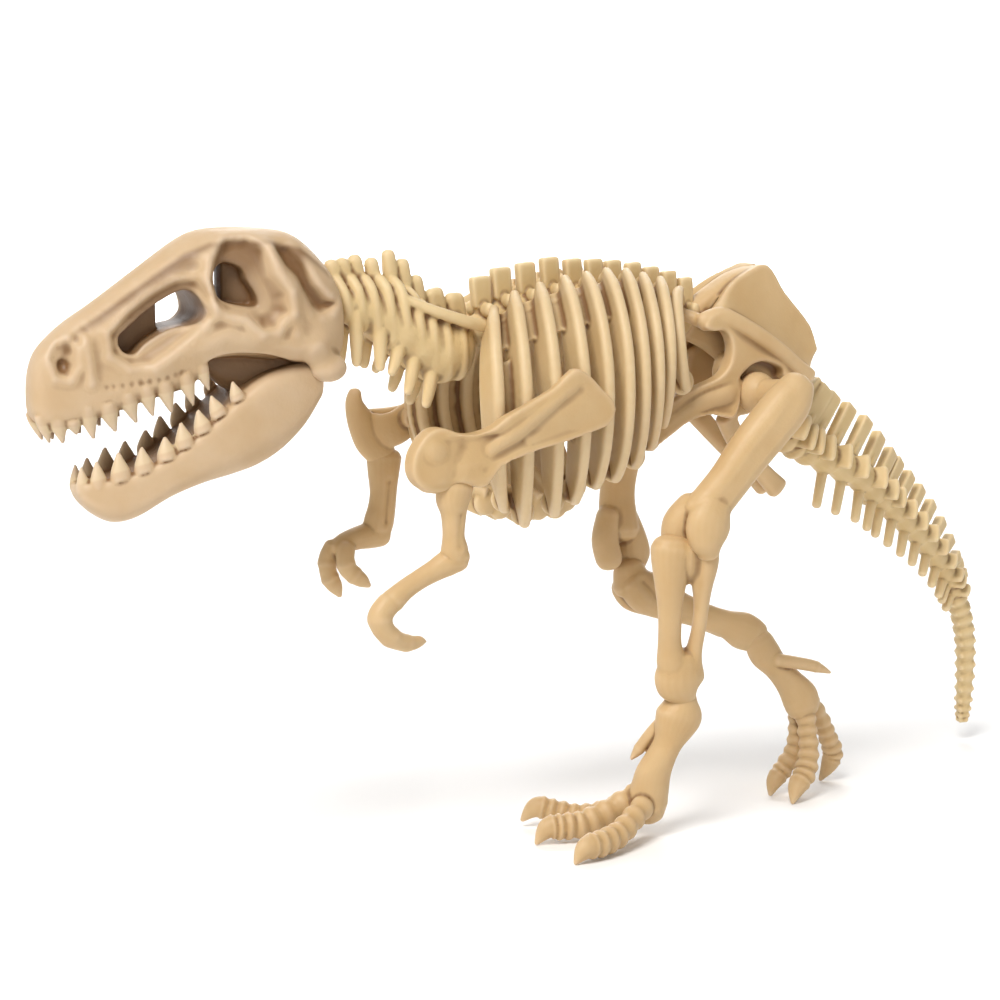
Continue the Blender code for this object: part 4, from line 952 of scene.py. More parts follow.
def make_skull(trees, values, material):
    clay = head_loft(SKULL_SECTIONS, under=5.0)
    for side in (1.0, -1.0):
        clay.ball(head_point(9.4, side * 11.6, 150.6), (5.8, 4.2, 4.2))
        clay.tube([(*head_point(15.0, side * 12.4, 157.0), 3.4, 4.2),
                   (*head_point(9.6, side * 11.8, 151.2), 3.2, 4.0)])
    skull = fuse(clay.mesh_object("skull"), 0.6, 12)
    head_press(skull, [FACE_RECESS], 2.0, 5.0)
    head_press(skull, [EYE_RECESS], 2.4, 5.0)
    head_press(skull, [EYE_OPENING], 1.6, 5.0)
    head_press(skull, [CHEEK_HOLLOW], 3.6, 4.4)
    head_ridge(skull, [EYE_RECESS + EYE_RECESS[:1]], 2.1, 2.6)
    head_ridge(skull, [FACE_RECESS + FACE_RECESS[:1]], 1.7, 1.6)
    head_ridge(skull, [CHEEK_HOLLOW + CHEEK_HOLLOW[:1]], 1.4, 1.2)
    head_ridge(skull, [NOSTRIL + NOSTRIL[:1]], 1.3, 1.2)
    head_ridge(skull, [CHEEK_BAR], 3.4, 1.3)
    head_ridge(skull, [BROW], 2.4, 0.8)
    head_ridge(skull, [BACK_STRUT, FRONT_STRUT], 2.2, 0.9)
    head_ridge(skull, [LONG_GROOVE], 1.8, -0.35)
    head_ridge(skull, [SNOUT_RIDGE], 1.6, 1.1)
    head_press(skull, [NOSTRIL], 1.2, 2.6)
    head_press(skull, [NOSTRIL_HOLE], 1.8, 1.8)
    head_ridge(skull, [NOSTRIL_GROOVE], 1.4, -1.0)
    cavity = [row for row in SKULL_SECTIONS if 20.0 <= row[0] <= 92.0]
    cut(skull, [head_loft(cavity, under=5.0, wall=2.8, drop=14.0), side_prism(FACE_OPENING, 30.0, -30.0),
                side_prism(EYE_OPENING, 30.0, -30.0), side_prism(MOUTH_CORNER, 30.0, -30.0)])
    shell = fuse(skull, 0.45, 4)
    whole = Clay()
    whole.take(shell)
    for rows in (NOSE_WALL, MOUTH_ROOF, BRAIN_CASE, THROAT):
        inner = head_loft(rows, sides=24)
        whole.add(np.vstack(inner.points), inner.faces)
    rows = teeth_rows(UPPER_TEETH, SKULL_SECTIONS, 2.9)
    whole.take(copies(trees["tooth"], rows, {**values, "Material": material}))
    skull = fuse(whole.mesh_object("skull"), 0.45, 2)
    pits = spline_rows(GUM_PITS, 3)
    head_ridge(skull, [(pit, pit + 0.1) for pit in pits], 0.9, -0.25)
    mark_teeth(skull, rows)
    mark_inside_shade(skull, SKULL_SECTIONS, True, False)
    return skull


def make_jaw(trees, values, material):
    inner = [(f, t, b + 1.7, h, n) for f, t, b, h, n in JAW_SECTIONS[2:]]
    jaw = head_loft(JAW_SECTIONS, over=6.0, under=2.9).mesh_object("jaw")
    cut(jaw, [head_loft(inner, over=6.0, under=2.9, wall=1.9, lift=12.0),
              head_loft(inner[-3:], over=6.0, under=2.9, wall=1.9, lift=12.0, drop=20.0)])
    whole = Clay()
    whole.take(jaw)
    rows = teeth_rows(LOWER_TEETH, JAW_SECTIONS, 2.2)
    whole.take(copies(trees["tooth"], rows, {**values, "Material": material}))
    jaw = fuse(whole.mesh_object("jaw"), 0.42, 3)
    mark_teeth(jaw, rows)
    mark_inside_shade(jaw, JAW_SECTIONS, False, True)
    return jaw


# Neck: forward position, height, half height and half width of each bone
NECK_BONES = [
    (-52.0, 168.6, 5.4, 5.0), (-46.0, 166.6, 6.2, 5.6), (-40.0, 163.6, 7.2, 6.2),
    (-34.0, 160.0, 8.0, 7.0), (-27.5, 156.8, 9.4, 7.8), (-21.0, 154.0, 10.6, 8.8),
    (-14.0, 153.8, 9.6, 8.6),
]
NECK_SPINE_TOPS = [(-56.4, 180.6), (-52.8, 181.0), (-48.6, 181.8), (-43.2, 180.8),
                   (-37.6, 182.9), (-33.0, 180.2), (-28.5, 175.2), (-23.4, 171.0),
                   (-21.6, 171.4), (-16.6, 169.6), (-14.8, 169.6)]
NECK_SIDE_POSTS = [(-55.4, 174.6, -52.4, 163.6), (-50.8, 174.8, -48.0, 161.0),
                   (-46.4, 174.6, -43.4, 158.8), (-41.6, 174.4, -38.6, 156.0),
                   (-37.0, 173.6, -34.0, 153.6), (-32.6, 170.6, -29.6, 150.6),
                   (-28.2, 166.6, -25.4, 148.0), (-23.6, 163.6, -21.0, 145.6),
                   (-18.6, 162.6, -16.6, 145.8)]
NECK_RODS = [(-50.4, -4.4, 165.0, -50.7, 149.9), (-42.6, -4.4, 160.0, -43.0, 148.2),
             (-36.2, -4.4, 155.4, -39.2, 146.7), (-31.2, -4.4, 151.6, -33.8, 140.8),
             (-25.4, -4.4, 147.0, -27.9, 136.7)]


def make_neck():
    clay = Clay()
    stations = []
    for here, after in zip(NECK_BONES, NECK_BONES[1:]):
        x, z, high, wide = here
        stations.append((x, 0.0, z, wide + 1.5, high + 0.3))
        between = [(a + b) / 2.0 for a, b in zip(here, after)]
        stations.append((between[0], 0.0, between[1], between[3] + 1.2, between[2]))
    x, z, high, wide = NECK_BONES[-1]
    stations.append((x, 0.0, z, wide, high))
    clay.tube(stations, sides=28, bulge=0.35)
    for top_x, top_z in NECK_SPINE_TOPS:
        base_z = 170.5 - 0.42 * (top_x + 52.0)
        clay.tube([(top_x + 1.6, 0.0, base_z - 5.0, 2.2, 2.7),
                   (top_x + 0.8, 0.0, (base_z + top_z) / 2.0 + 0.4, 2.2, 2.3),
                   (top_x, 0.0, top_z - 1.2, 2.0, 2.1)], up=(0, 1, 0), power=2.6)
    wides = np.array(NECK_BONES)
    for top_x, top_z, low_x, low_z in NECK_SIDE_POSTS:
        middle_x, middle_z = (top_x + low_x) / 2.0, (top_z + low_z) / 2.0
        wide = float(np.interp(middle_x, wides[:, 0], wides[:, 3]))
        for side in (-1.0, 1.0):
            clay.tube([(top_x, side * wide * 0.3, top_z, 2.2, 1.9),
                       (top_x + 0.8, side * wide * 0.74, top_z - 3.0, 2.5, 1.9),
                       (middle_x, side * (wide - 0.9), middle_z, 2.8, 2.0),
                       (low_x, side * wide * 0.72, low_z + 2.0, 2.4, 1.9),
                       (low_x, side * wide * 0.4, low_z, 2.1, 1.8)], up=(1, 0, 0))
    for side in (-1.0, 1.0):
        for x, y, z, tip_x, tip_z in NECK_RODS:
            clay.tube([(x, y * -side, z + 1.0, 2.3, 2.4), ((x + tip_x) / 2.0, y * -side * 1.05,
                       (z + tip_z) / 2.0, 2.0, 2.1), (tip_x, y * -side * 1.15, tip_z + 1.0,
                       1.5, 1.5)], up=(0, 1, 0))
        clay.tube([(-36.0, side * 6.2, 169.4, 1.5, 1.3), (-28.0, side * 8.6, 165.8, 2.0, 1.6),
                   (-19.0, side * 9.8, 162.6, 2.2, 1.8), (-11.5, side * 9.4, 160.4, 2.0, 1.9)],
                  power=2.4)
    return fuse(clay.mesh_object("neck"), 0.42, 15)


# Back: column points and the tops of its flat spines
BACK_PATH = [(-9.5, 0.0, 157.5), (0.0, 0.0, 162.0), (15.0, 0.0, 165.0), (32.0, 0.0, 166.0),
             (48.0, 0.0, 164.0), (60.0, 0.0, 160.0), (66.0, 0.0, 157.5)]
BACK_RADIUS = 4.6
BACK_SPINE_TOPS = [(-7.2, 174.0), (-0.2, 176.4), (8.3, 177.6), (16.6, 178.9), (24.7, 178.2),
                   (32.2, 177.9), (39.0, 177.3), (46.2, 176.4), (52.8, 174.9), (59.2, 173.4),
                   (65.2, 171.2)]


def make_back(trees, material, thickness):
    clay = Clay()
    clay.tube([(x, y, z, BACK_RADIUS * 0.9, BACK_RADIUS) for x, y, z in BACK_PATH], bulge=0.3)
    wide = np.linspace(6.2, 4.4, len(BACK_SPINE_TOPS))
    blades = [(np.array((x + 0.5, 0.0, z - 4.4)), np.array((x - 0.2, 0.0, z + 5.0)), across,
               thickness, np.array((1.0, 0.0, 0.0)))
              for (x, z), across in zip(BACK_SPINE_TOPS, wide)]
    clay.take(copies(trees["bar"], blades, {"Roundness": 0.5, "Taper": 0.1,
                                            "Material": material}))
    for (x, z), across in zip(BACK_SPINE_TOPS, wide):
        clay.tube([(x + 1.4, 0.0, z - 13.0, across * 0.36, 1.8),
                   (x + 0.7, 0.0, z - 7.0, across * 0.37, 1.4),
                   (x + 0.2, 0.0, z - 3.6, across * 0.40, 1.4)], up=(0, 1, 0), power=3.0)
        for side in (-1.0, 1.0):
            clay.tube([(x + 1.0, side * 2.0, z - 9.6, 2.2, 1.7),
                       (x + 0.4, side * 6.0, z - 9.4, 2.2, 1.5)], up=(1, 0, 0))
    return fuse(clay.mesh_object("back"), 0.36, 2)


# Ribs: ten a side, numbered from the neck back
RIBS = 10
RIB_TOPS = [(-5.5, 162.5), (1.0, 166.5), (9.6, 168.7), (18.0, 170.6), (25.6, 171.6),
            (32.6, 172.6), (39.8, 172.4), (46.2, 171.0), (52.9, 169.4), (60.6, 165.6)]
RIB_MIDDLES = [-15.9, -7.6, 1.5, 10.7, 18.7, 26.4, 32.8, 38.9, 44.4, 49.9]
RIB_SPREAD = [23.5, 25.5, 27.0, 27.8, 28.0, 27.4, 26.2, 24.4, 22.0, 19.0]
RIB_WIDTHS = [1.12, 1.16, 1.16, 1.12, 1.08, 1.04, 1.0, 0.98, 1.0, 1.1]
LEFT_RIB_ENDS = [(-3.0, 108.5), (3.4, 103.8), (13.6, 106.4), (20.6, 109.4), (28.0, 113.4),
                 (35.1, 114.8), (42.6, 118.2), (48.6, 123.4), (53.2, 129.4), (54.8, 141.0)]
RIGHT_RIB_ENDS = [(-1.0, 105.4), (4.4, 103.8), (12.4, 102.0), (18.4, 102.4), (24.5, 102.4),
                  (28.0, 104.4), (31.0, 108.0), (41.4, 114.0), (49.0, 124.0), (54.0, 140.0)]


def rib_point(index, share, side, ends):
    """A point on the middle line of a rib, share running from its head to its end."""
    top_x, top_z = RIB_TOPS[index]
    end_x, end_z = ends[index]
    start, turn = 0.075, 0.83 if index < RIBS - 1 else 0.62
    angle = math.pi * (start + turn * share)
    half = (top_z - end_z) / (math.cos(math.pi * start) - math.cos(math.pi * (start + turn)))
    z = top_z - half * (math.cos(math.pi * start) - math.cos(angle))
    y = side * RIB_SPREAD[index] * math.sin(angle)
    bend = 4.0 * (RIB_MIDDLES[index] - (top_x + end_x) / 2.0)
    x = top_x + (end_x - top_x) * share + bend * share * (1.0 - share)
    return np.array((x, y, z))


def between_ribs(place, share, side, ends):
    low = min(int(place), RIBS - 2)
    part = place - low
    return ((1.0 - part) * rib_point(low, share, side, ends)
            + part * rib_point(low + 1, share, side, ends))


def rib_web(clay, side, ends, first, last, high, low, half, sink):
    """A thin wall between ribs, from one share of their length to another."""
    places = np.linspace(first, last, int(round((last - first) * 6)) + 1)
    shares = np.linspace(high, low, 14)
    grid = [[between_ribs(p, s, side, ends) for p in places] for s in shares]
    outward = [[unit(np.array((0.0, point[1], (point[2] - 138.0) * 0.6))) for point in row]
               for row in grid]
    grid, outward = np.array(grid), np.array(outward)
    if side > 0:
        grid, outward = grid[:, ::-1], outward[:, ::-1]
    clay.sheet(grid - outward * sink, outward, half)


def make_ribs(trees, material, width, side, ends):
    lines = []
    for index in range(RIBS):
        line = []
        for k in range(25):
            share = k / 24.0
            point = rib_point(index, share, side, ends)
            taper = (1.0 - 0.2 * abs(share - 0.4)) * (0.8 + 0.2 * min(share / 0.12, 1.0))
            after = rib_point(index, min(share + 0.02, 1.0), side, ends)
            before = rib_point(index, max(share - 0.02, 0.0), side, ends)
            outward = np.cross(unit(after - before), (1.0, 0.0, 0.0))
            line.append((*point, width * RIB_WIDTHS[index] * taper, *outward))
        lines.append(line)
    clay = Clay()
    clay.take(bands(trees["band"], lines, {"Thickness": 0.34, "Corner": 0.15, "Steps": 70,
                                           "Material": material}))
    for index in range(RIBS):
        clay.ball(rib_point(index, 1.0, side, ends), (width * 0.42, 1.7, width * 0.42))
        head = rib_point(index, 0.0, side, ends)
        clay.tube([(*head, 2.1, 1.9), (head[0] + 0.8, side * 3.6, head[2] - 2.0, 1.7, 1.7)],
                  up=(1, 0, 0))
    rib_web(clay, side, ends, 0.0, RIBS - 1.0, 0.02, 0.09, 1.1, 1.4)
    rib_web(clay, side, ends, 0.0, 6.0, 0.05, 0.245, 0.9, 1.5)
    rib_web(clay, side, ends, 6.0, RIBS - 1.0, 0.05, 0.17, 0.9, 1.6)
    if side > 0:
        rib_web(clay, side, ends, -0.45, 3.0, 0.26, 0.72, 0.9, 0.8)
        rib_web(clay, side, ends, -0.45, 1.0, 0.12, 0.3, 0.9, 0.8)
    else:
        rib_web(clay, side, ends, 0.0, 1.0, 0.3, 0.52, 0.9, 1.4)
        rib_web(clay, side, ends, 2.0, 3.0, 0.5, 0.66, 0.9, 1.4)
    return fuse(clay.mesh_object("ribs"), 0.46, 4)


# Shoulders and arms

LEFT_BLADE = [
    (6.4, 149.1), (11.2, 146.5), (15.3, 142.5), (19.3, 138.5), (19.5, 134.9), (17.1, 131.8),
    (9.6, 129.6), (1.4, 127.5), (-5.7, 126.2), (-11.7, 124.5), (-16.7, 123.1), (-20.4, 120.1),
    (-22.4, 117.4), (-25.0, 116.1), (-28.0, 116.9), (-31.6, 117.7), (-35.5, 115.7),
    (-40.4, 115.8), (-44.2, 117.8), (-46.2, 121.4), (-46.0, 125.7), (-44.4, 129.0),
    (-42.2, 131.7), (-39.4, 133.5), (-36.0, 133.8), (-30.9, 132.0), (-25.7, 131.7),
    (-21.0, 133.5), (-16.7, 136.4), (-9.1, 140.0), (-1.4, 143.7), (3.0, 147.2),
]


def left_blade_middle(x, z):
    return -32.6 + 4.6 * float(ease((-12.0 - x) / 26.0))


def left_blade_half(x, z):
    return 1.7 + 1.5 * float(ease((-8.0 - x) / 20.0))


def make_shoulder_left():
    clay = Clay()
    clay.slab(LEFT_BLADE, left_blade_middle, left_blade_half)
    up = (0.45, 0.0, -0.9)
    clay.tube([(9.0, -32.8, 145.6, 1.6, 2.4), (0.0, -33.2, 140.4, 1.8, 2.6),
               (-12.0, -33.0, 132.4, 2.0, 2.8), (-22.0, -31.4, 126.4, 2.4, 2.8)], up=up)
    clay.tube([(14.0, -32.6, 136.4, 1.5, 4.0), (2.0, -32.6, 132.8, 1.5, 3.8),
               (-10.0, -32.0, 128.8, 1.8, 3.2)], up=up)
    clay.ball((-38.6, -28.2, 127.0), (6.2, 4.6, 6.0))
    clay.ball((-39.4, -27.6, 120.6), (5.8, 4.4, 5.2))
    clay.ball((-27.6, -28.8, 122.4), (5.6, 4.2, 5.4))
    clay.tube([(-40.0, -27.0, 119.0, 3.4, 4.0), (-32.0, -27.0, 117.4, 3.4, 3.4),
               (-25.0, -27.6, 118.6, 2.4, 3.0)], up=(0, 0, 1))
    clay.tube([(-6.0, -33.0, 131.0, 2.4, 2.4), (-6.0, -25.8, 131.0, 2.4, 2.4)], bulge=0.05)
    blade = fuse(clay.mesh_object("shoulder"), 0.42, 26)
    groove(blade, [[(-24.0, -34.0, 121.6), (-14.0, -35.2, 129.0), (-2.0, -35.4, 136.2),
                    (7.0, -35.2, 142.6)]], 2.0, 0.35)
    groove(blade, [[(-34.0, -32.6, 118.6), (-33.0, -32.8, 123.6), (-31.0, -32.8, 128.0)]], 2.4, 0.5)
    return blade


RIGHT_BLADE_HOOK = [
    (-31.4, 33.5, 137.8, 2.0, 2.4), (-31.8, 33.2, 134.6, 2.9, 2.8), (-30.0, 33.0, 129.7, 4.4, 3.0),
    (-26.6, 33.0, 124.0, 5.6, 3.2), (-23.6, 33.0, 120.2, 5.2, 3.4), (-22.0, 33.0, 118.4, 4.6, 3.2),
]


def make_shoulder_right():
    clay = Clay()
    clay.tube(RIGHT_BLADE_HOOK, up=(0, 1, 0))
    clay.tube([(-27.0, 32.6, 126.0, 2.4, 5.8), (-20.0, 29.6, 126.6, 2.2, 5.5),
               (-8.0, 31.5, 133.0, 1.7, 5.4), (6.0, 33.0, 141.0, 1.7, 6.6),
               (15.0, 33.0, 145.0, 1.6, 5.6)], up=(0.3, 0, -1))
    clay.tube([(-28.0, 35.0, 131.0, 1.8, 1.6), (-12.0, 34.0, 132.6, 2.0, 1.6),
               (6.0, 35.0, 144.0, 1.8, 1.6)], up=(0.3, 0, -1))
    clay.tube([(-16.0, 32.0, 130.0, 3.0, 3.0), (-16.0, 24.4, 130.0, 3.0, 3.0)], bulge=0.05)
    return fuse(clay.mesh_object("shoulder"), 0.42, 10)


LEFT_UPPER_ARM = [
    (-30.8, -27.6, 116.4, 5.65, 4.7), (-31.4, -27.4, 112.6, 5.25, 4.5), (-31.1, -27.2, 108.6, 3.85, 3.9),
    (-31, -27, 104.6, 3.35, 3.5), (-30.8, -26.6, 101.6, 3.25, 3.4), (-30.3, -26.2, 98.2, 4.05, 3.7),
    (-30, -25.8, 95.6, 4.25, 3.7),
]
LEFT_FOREARM = [
    (-28.4, -25.6, 94.4, 3.25, 3.5), (-32.2, -25.4, 93.8, 3.85, 3.6), (-36.5, -25.2, 91.9, 3.25, 3.1),
    (-41.3, -25, 89.7, 2.95, 2.9), (-46.1, -25, 87.1, 3.05, 3), (-50, -25, 84.2, 3.55, 3.4),
]
LEFT_HAND = [
    (-50.9, -25, 83.8, 3.6, 3.2), (-53.8, -25, 80.6, 3.6, 3.4), (-53.4, -25, 77.2, 3.4, 3.3),
    (-50.6, -24.6, 73.9, 3, 3.1), (-46.7, -24, 71.9, 2.7, 2.7), (-43.3, -23.4, 71.1, 2.3, 2.2),
    (-39.9, -22.8, 71.2, 1.7, 1.6), (-37.9, -22.4, 71, 0.49, 0.69),
]
LEFT_SMALL_FINGER = [
    (-53.8, -22.6, 77.5, 1.9, 2.3), (-51.6, -21.6, 74.5, 1.8, 2), (-48.9, -21, 71.2, 1.4, 1.4),
]
RIGHT_UPPER_ARM = [
    (-21.6, 33.3, 117.6, 5.9, 3.9), (-21.9, 33.2, 112.4, 5.1, 3.9), (-22, 33.2, 106.8, 4.4, 3.5),
    (-22.6, 33.2, 101.9, 4.6, 3.3), (-23.6, 33.2, 97.9, 5, 3.5), (-24.2, 33.2, 95.4, 4.7, 3.5),
]
RIGHT_FOREARM = [
    (-22.4, 33.5, 93.9, 3.9, 3.3), (-26.8, 33.3, 93.8, 4.1, 3.3), (-31.4, 33, 93.3, 3.6, 3.3),
    (-35.4, 32.6, 92.3, 3.3, 3.3), (-38.2, 32.4, 90.6, 3.3, 3.2),
]
RIGHT_OUTER_FINGER = [
    (-38.6, 33.8, 91, 3.4, 2.7), (-40.4, 34.4, 87.8, 3, 2.7), (-40.6, 34.4, 84.4, 2.8, 2.5),
    (-39.8, 34.2, 81.4, 2.8, 2.3), (-38.2, 33.8, 78.6, 2.4, 1.8), (-36.9, 33.6, 75.9, 0.83, 0.79),
]
RIGHT_INNER_FINGER = [
    (-36.6, 30.2, 91, 3.2, 2.7), (-37.4, 28.8, 87.8, 2.9, 2.5), (-36.8, 28.4, 85, 2.9, 2.4),
    (-34.6, 28.2, 82.8, 2.7, 2.2), (-32, 27.8, 80.9, 2.2, 1.7), (-30, 27.4, 79.3, 0.8, 0.69),
]


def knuckled(stations, places, swell, per_span=8):
    """Stations of a finger or toe that swell at its joints."""
    rows = spline_rows(stations, per_span)
    last = len(rows) - 1.0
    for k, row in enumerate(rows):
        bump = sum(math.exp(-((k / last - place) / 0.045) ** 2) for place in places)
        row[3:5] *= 1.0 + swell * min(bump, 1.0)
    return rows


def make_arm_left():
    clay = Clay()
    clay.tube(LEFT_UPPER_ARM, up=(0, 1, 0))
    clay.tube(LEFT_FOREARM, up=(0, 1, 0))
    clay.tube(knuckled(LEFT_HAND, (0.2, 0.44, 0.66), 0.09), up=(0, 1, 0), smooth=False)
    clay.tube(LEFT_SMALL_FINGER, up=(0, 1, 0))
    clay.ball((-28.6, -25.8, 95.6), (3.2, 3.6, 3.0))
    clay.ball((-49.8, -25.0, 84.8), (3.1, 3.3, 3.0))
    arm = fuse(clay.mesh_object("arm"), 0.4, 6)
    groove(arm, [[(-30.4, -31.0, 108.0), (-30.4, -30.6, 99.0)]], 1.3, 0.5)
    return arm


def make_arm_right():
    clay = Clay()
    clay.tube(RIGHT_UPPER_ARM, up=(0, 1, 0))
    clay.tube(RIGHT_FOREARM, up=(0, 1, 0))
    clay.tube(knuckled(RIGHT_OUTER_FINGER, (0.3, 0.6), 0.12), up=(0, 1, 0), smooth=False)
    clay.tube(knuckled(RIGHT_INNER_FINGER, (0.3, 0.6), 0.12), up=(0, 1, 0), smooth=False)
    arm = fuse(clay.mesh_object("arm"), 0.4, 6)
    groove(arm, [[(-21.6, 29.8, 110.0), (-22.6, 29.8, 98.0)]], 1.3, 0.5)
    return arm


# Hips and legs

HIP = (82.4, 15.0, 136.4)
HIP_RADIUS = 6.4
HIP_RIM = [
    (64.0, 13.2, 158.6, 2.6, 3.0), (69.0, 14.2, 160.0, 2.6, 3.2), (75.0, 15.2, 158.0, 2.4, 2.8),
    (83.0, 15.8, 153.6, 2.3, 2.7), (91.0, 16.0, 148.4, 2.2, 2.5), (97.0, 15.8, 143.9, 2.0, 2.4),
    (102.4, 15.4, 140.6, 1.7, 2.2),
]
HIP_WALL = [
    (62.6, 157.6), (66.4, 160.6), (72.0, 159.4), (77.0, 156.4), (84.0, 152.6), (91.0, 147.8),
    (97.4, 142.8), (95.0, 139.6), (92.2, 140.6), (91.0, 143.8), (84.8, 145.9), (79.6, 144.8),
    (75.2, 140.6), (76.0, 135.3), (73.7, 129.0), (67.6, 130.2), (62.0, 129.4), (56.1, 126.2),
    (50.2, 121.4), (47.4, 122.6), (47.6, 125.9), (52.0, 132.0), (57.0, 136.6), (63.2, 139.3),
    (68.6, 141.8), (72.0, 146.0), (72.6, 151.6), (70.2, 155.9), (65.6, 156.0),
]
# Where the blade's sheet starts at the rim and where it ends at its free edge
HIP_SHEET_LOW = [(64.6, 158.8), (69.5, 160.4), (75.0, 158.0), (83.0, 153.6), (91.0, 148.4),
                 (97.0, 143.9), (102.4, 140.8)]
HIP_SHEET_HIGH = [(72.4, 163.8), (77.4, 168.8), (85.0, 172.8), (93.0, 174.6), (99.6, 165.6),
                  (108.6, 155.4), (110.6, 147.4)]
HIP_FRONT_ARM = [
    (76.0, 13.0, 139.0, 3.6, 2.8), (71.6, 13.4, 136.4, 3.6, 3.2), (65.5, 12.0, 134.6, 3.2, 3.2),
    (59.0, 10.0, 131.0, 3.0, 3.0), (54.0, 8.6, 127.0, 3.0, 2.8), (50.6, 7.4, 123.8, 2.4, 2.4),
]


def hip_sheet(clay, side):
    """The curved blade of a hip bone, flaring outward to its lower rim."""
    low = spline_rows(HIP_SHEET_LOW, 4)
    high = spline_rows(HIP_SHEET_HIGH, 4)
    grid, outward = [], []
    for share in np.linspace(0.0, 1.0, 16):
        row, faces = [], []
        for (low_x, low_z), (high_x, high_z) in zip(low, high):
            rise = share * math.hypot(high_x - low_x, high_z - low_z)
            y = 3.2 + 11.6 * math.exp(-rise / 8.5)
            row.append((low_x + (high_x - low_x) * share, side * y,
                        low_z + (high_z - low_z) * share))
            faces.append(unit(np.array((-0.3, side, 0.6 * math.exp(-rise / 8.5)))))
        grid.append(row)
        outward.append(faces)
    grid, outward = np.array(grid), np.array(outward)
    if side > 0:
        grid, outward = grid[:, ::-1], outward[:, ::-1]
    clay.sheet(grid, outward, 2.4)


def make_pelvis():
    clay = Clay()
    clay.tube([(66.0, 0.0, 157.0, 4.2, 4.6), (76.0, 0.0, 152.5, 4.4, 5.0),
               (87.0, 0.0, 144.0, 4.4, 5.0), (94.0, 0.0, 136.0, 4.2, 4.8),
               (99.5, 0.3, 128.0, 4.0, 4.6)], bulge=0.2)
    clay.tube([(73.6, 0.0, 161.6, 2.8, 5.0), (79.4, 0.0, 166.6, 2.8, 4.6),
               (87.0, 0.0, 170.4, 2.4, 4.0), (93.0, 0.0, 171.4, 2.4, 3.8),
               (99.0, 0.0, 163.6, 2.4, 3.8)], up=(0, 1, 0))
    clay.tube([(69.0, 0.0, 160.6, 4.6, 3.6), (75.6, 0.0, 165.4, 4.8, 3.2),
               (83.6, 0.0, 170.2, 4.4, 2.6), (91.6, 0.0, 172.2, 3.8, 2.2)], power=2.6)
    for s in (-1.0, 1.0):
        hip_sheet(clay, s)
        clay.slab(HIP_WALL, lambda x, z: s * (13.8 - 0.3 * max(0.0, 71.0 - x)
                                              * float(ease((150.0 - z) / 12.0))),
                  lambda x, z: 2.6)
        clay.tube([(x, s * y, z, a, b) for x, y, z, a, b in HIP_RIM], power=2.4)
        clay.slab([(72.0, 146.0), (80.0, 150.0), (92.0, 147.0), (97.0, 141.0), (94.0, 134.0),
                   (86.0, 130.0), (77.0, 129.0), (72.0, 134.0)], lambda x, z: s * 8.6,
                  lambda x, z: 2.2)
        clay.tube([(x, s * y, z, a, b) for x, y, z, a, b in HIP_FRONT_ARM], up=(0, 1, 0),
                  power=2.4)
        clay.tube([(88.0, s * 11.0, 148.0, 3.0, 3.0), (88.0, 0.0, 146.0, 3.0, 3.0)])
        clay.tube([(71.0, s * 10.0, 160.0, 2.6, 3.4), (70.0, 0.0, 157.0, 2.6, 3.4)], up=(1, 0, 0))
        clay.tube([(66.0, s * 12.0, 158.0, 2.4, 2.4), (61.0, s * 7.0, 160.6, 2.0, 2.0),
                   (58.0, s * 3.0, 161.6, 2.0, 2.0)])
        clay.tube([(75.0, s * 9.0, 129.0, 2.6, 3.4), (82.5, s * 5.0, 119.6, 2.6, 3.0),
                   (92.0, s * 3.6, 110.5, 2.6, 2.9), (99.0, s * 3.4, 104.0, 2.8, 3.6)],
                  up=(1, 0, 1), power=2.8, bulge=0.3)
    pelvis = fuse(clay.mesh_object("pelvis"), 0.45, 12)
    return pelvis


# Thigh bones: the shaft, its outer and inner knobs at the knee, and the long groove
LEFT_THIGH = [
    (85.0, -33.0, 139.6, 5.6, 5.0), (81.4, -33.0, 134.6, 7.4, 5.8), (74.8, -32.5, 127.6, 7.4, 5.9),
    (68.6, -31.5, 120.5, 7.1, 5.6), (62.4, -30.5, 112.6, 6.5, 5.4), (57.5, -29.0, 106.3, 6.6, 5.3),
    (54.6, -27.8, 102.1, 7.2, 5.3),
]
LEFT_THIGH_KNOBS = [
    [(57.0, -30.5, 105.6, 5.4, 4.4), (54.6, -31.0, 100.0, 7.4, 5.0), (54.0, -30.8, 94.8, 6.4, 4.8),
     (54.6, -30.4, 91.4, 4.0, 4.0)],
    [(52.0, -25.0, 105.0, 4.0, 4.4), (49.0, -23.0, 99.4, 5.0, 4.8), (48.4, -22.6, 94.4, 4.8, 4.4)],
]
LEFT_THIGH_GROOVE = [(80.0, -38.0, 136.0), (75.6, -38.4, 128.6), (69.4, -37.4, 121.0),
                     (62.8, -36.4, 113.0), (56.6, -34.6, 106.0), (51.4, -30.4, 100.0)]
RIGHT_THIGH = [
    (84.6, 33.0, 139.0, 4.8, 4.8), (79.0, 33.2, 132.4, 6.0, 5.4), (71.6, 33.2, 123.6, 5.8, 5.2),
    (66.1, 33.4, 114.6, 5.5, 5.0), (63.4, 33.4, 107.4, 5.8, 4.8), (62.2, 33.0, 100.4, 5.8, 4.8),
    (61.8, 32.0, 94.0, 6.4, 5.0), (61.7, 31.4, 89.0, 7.2, 5.4),
]
RIGHT_THIGH_KNOBS = [
    [(57.4, 30.6, 94.4, 3.6, 4.4), (55.8, 29.8, 86.6, 4.4, 4.6), (57.4, 29.6, 80.2, 4.6, 4.4)],
    [(65.0, 33.4, 93.6, 4.2, 4.8), (67.0, 33.0, 86.4, 5.4, 5.2), (68.0, 32.6, 80.8, 6.0, 4.8),
     (68.0, 32.4, 77.4, 4.4, 4.0)],
]
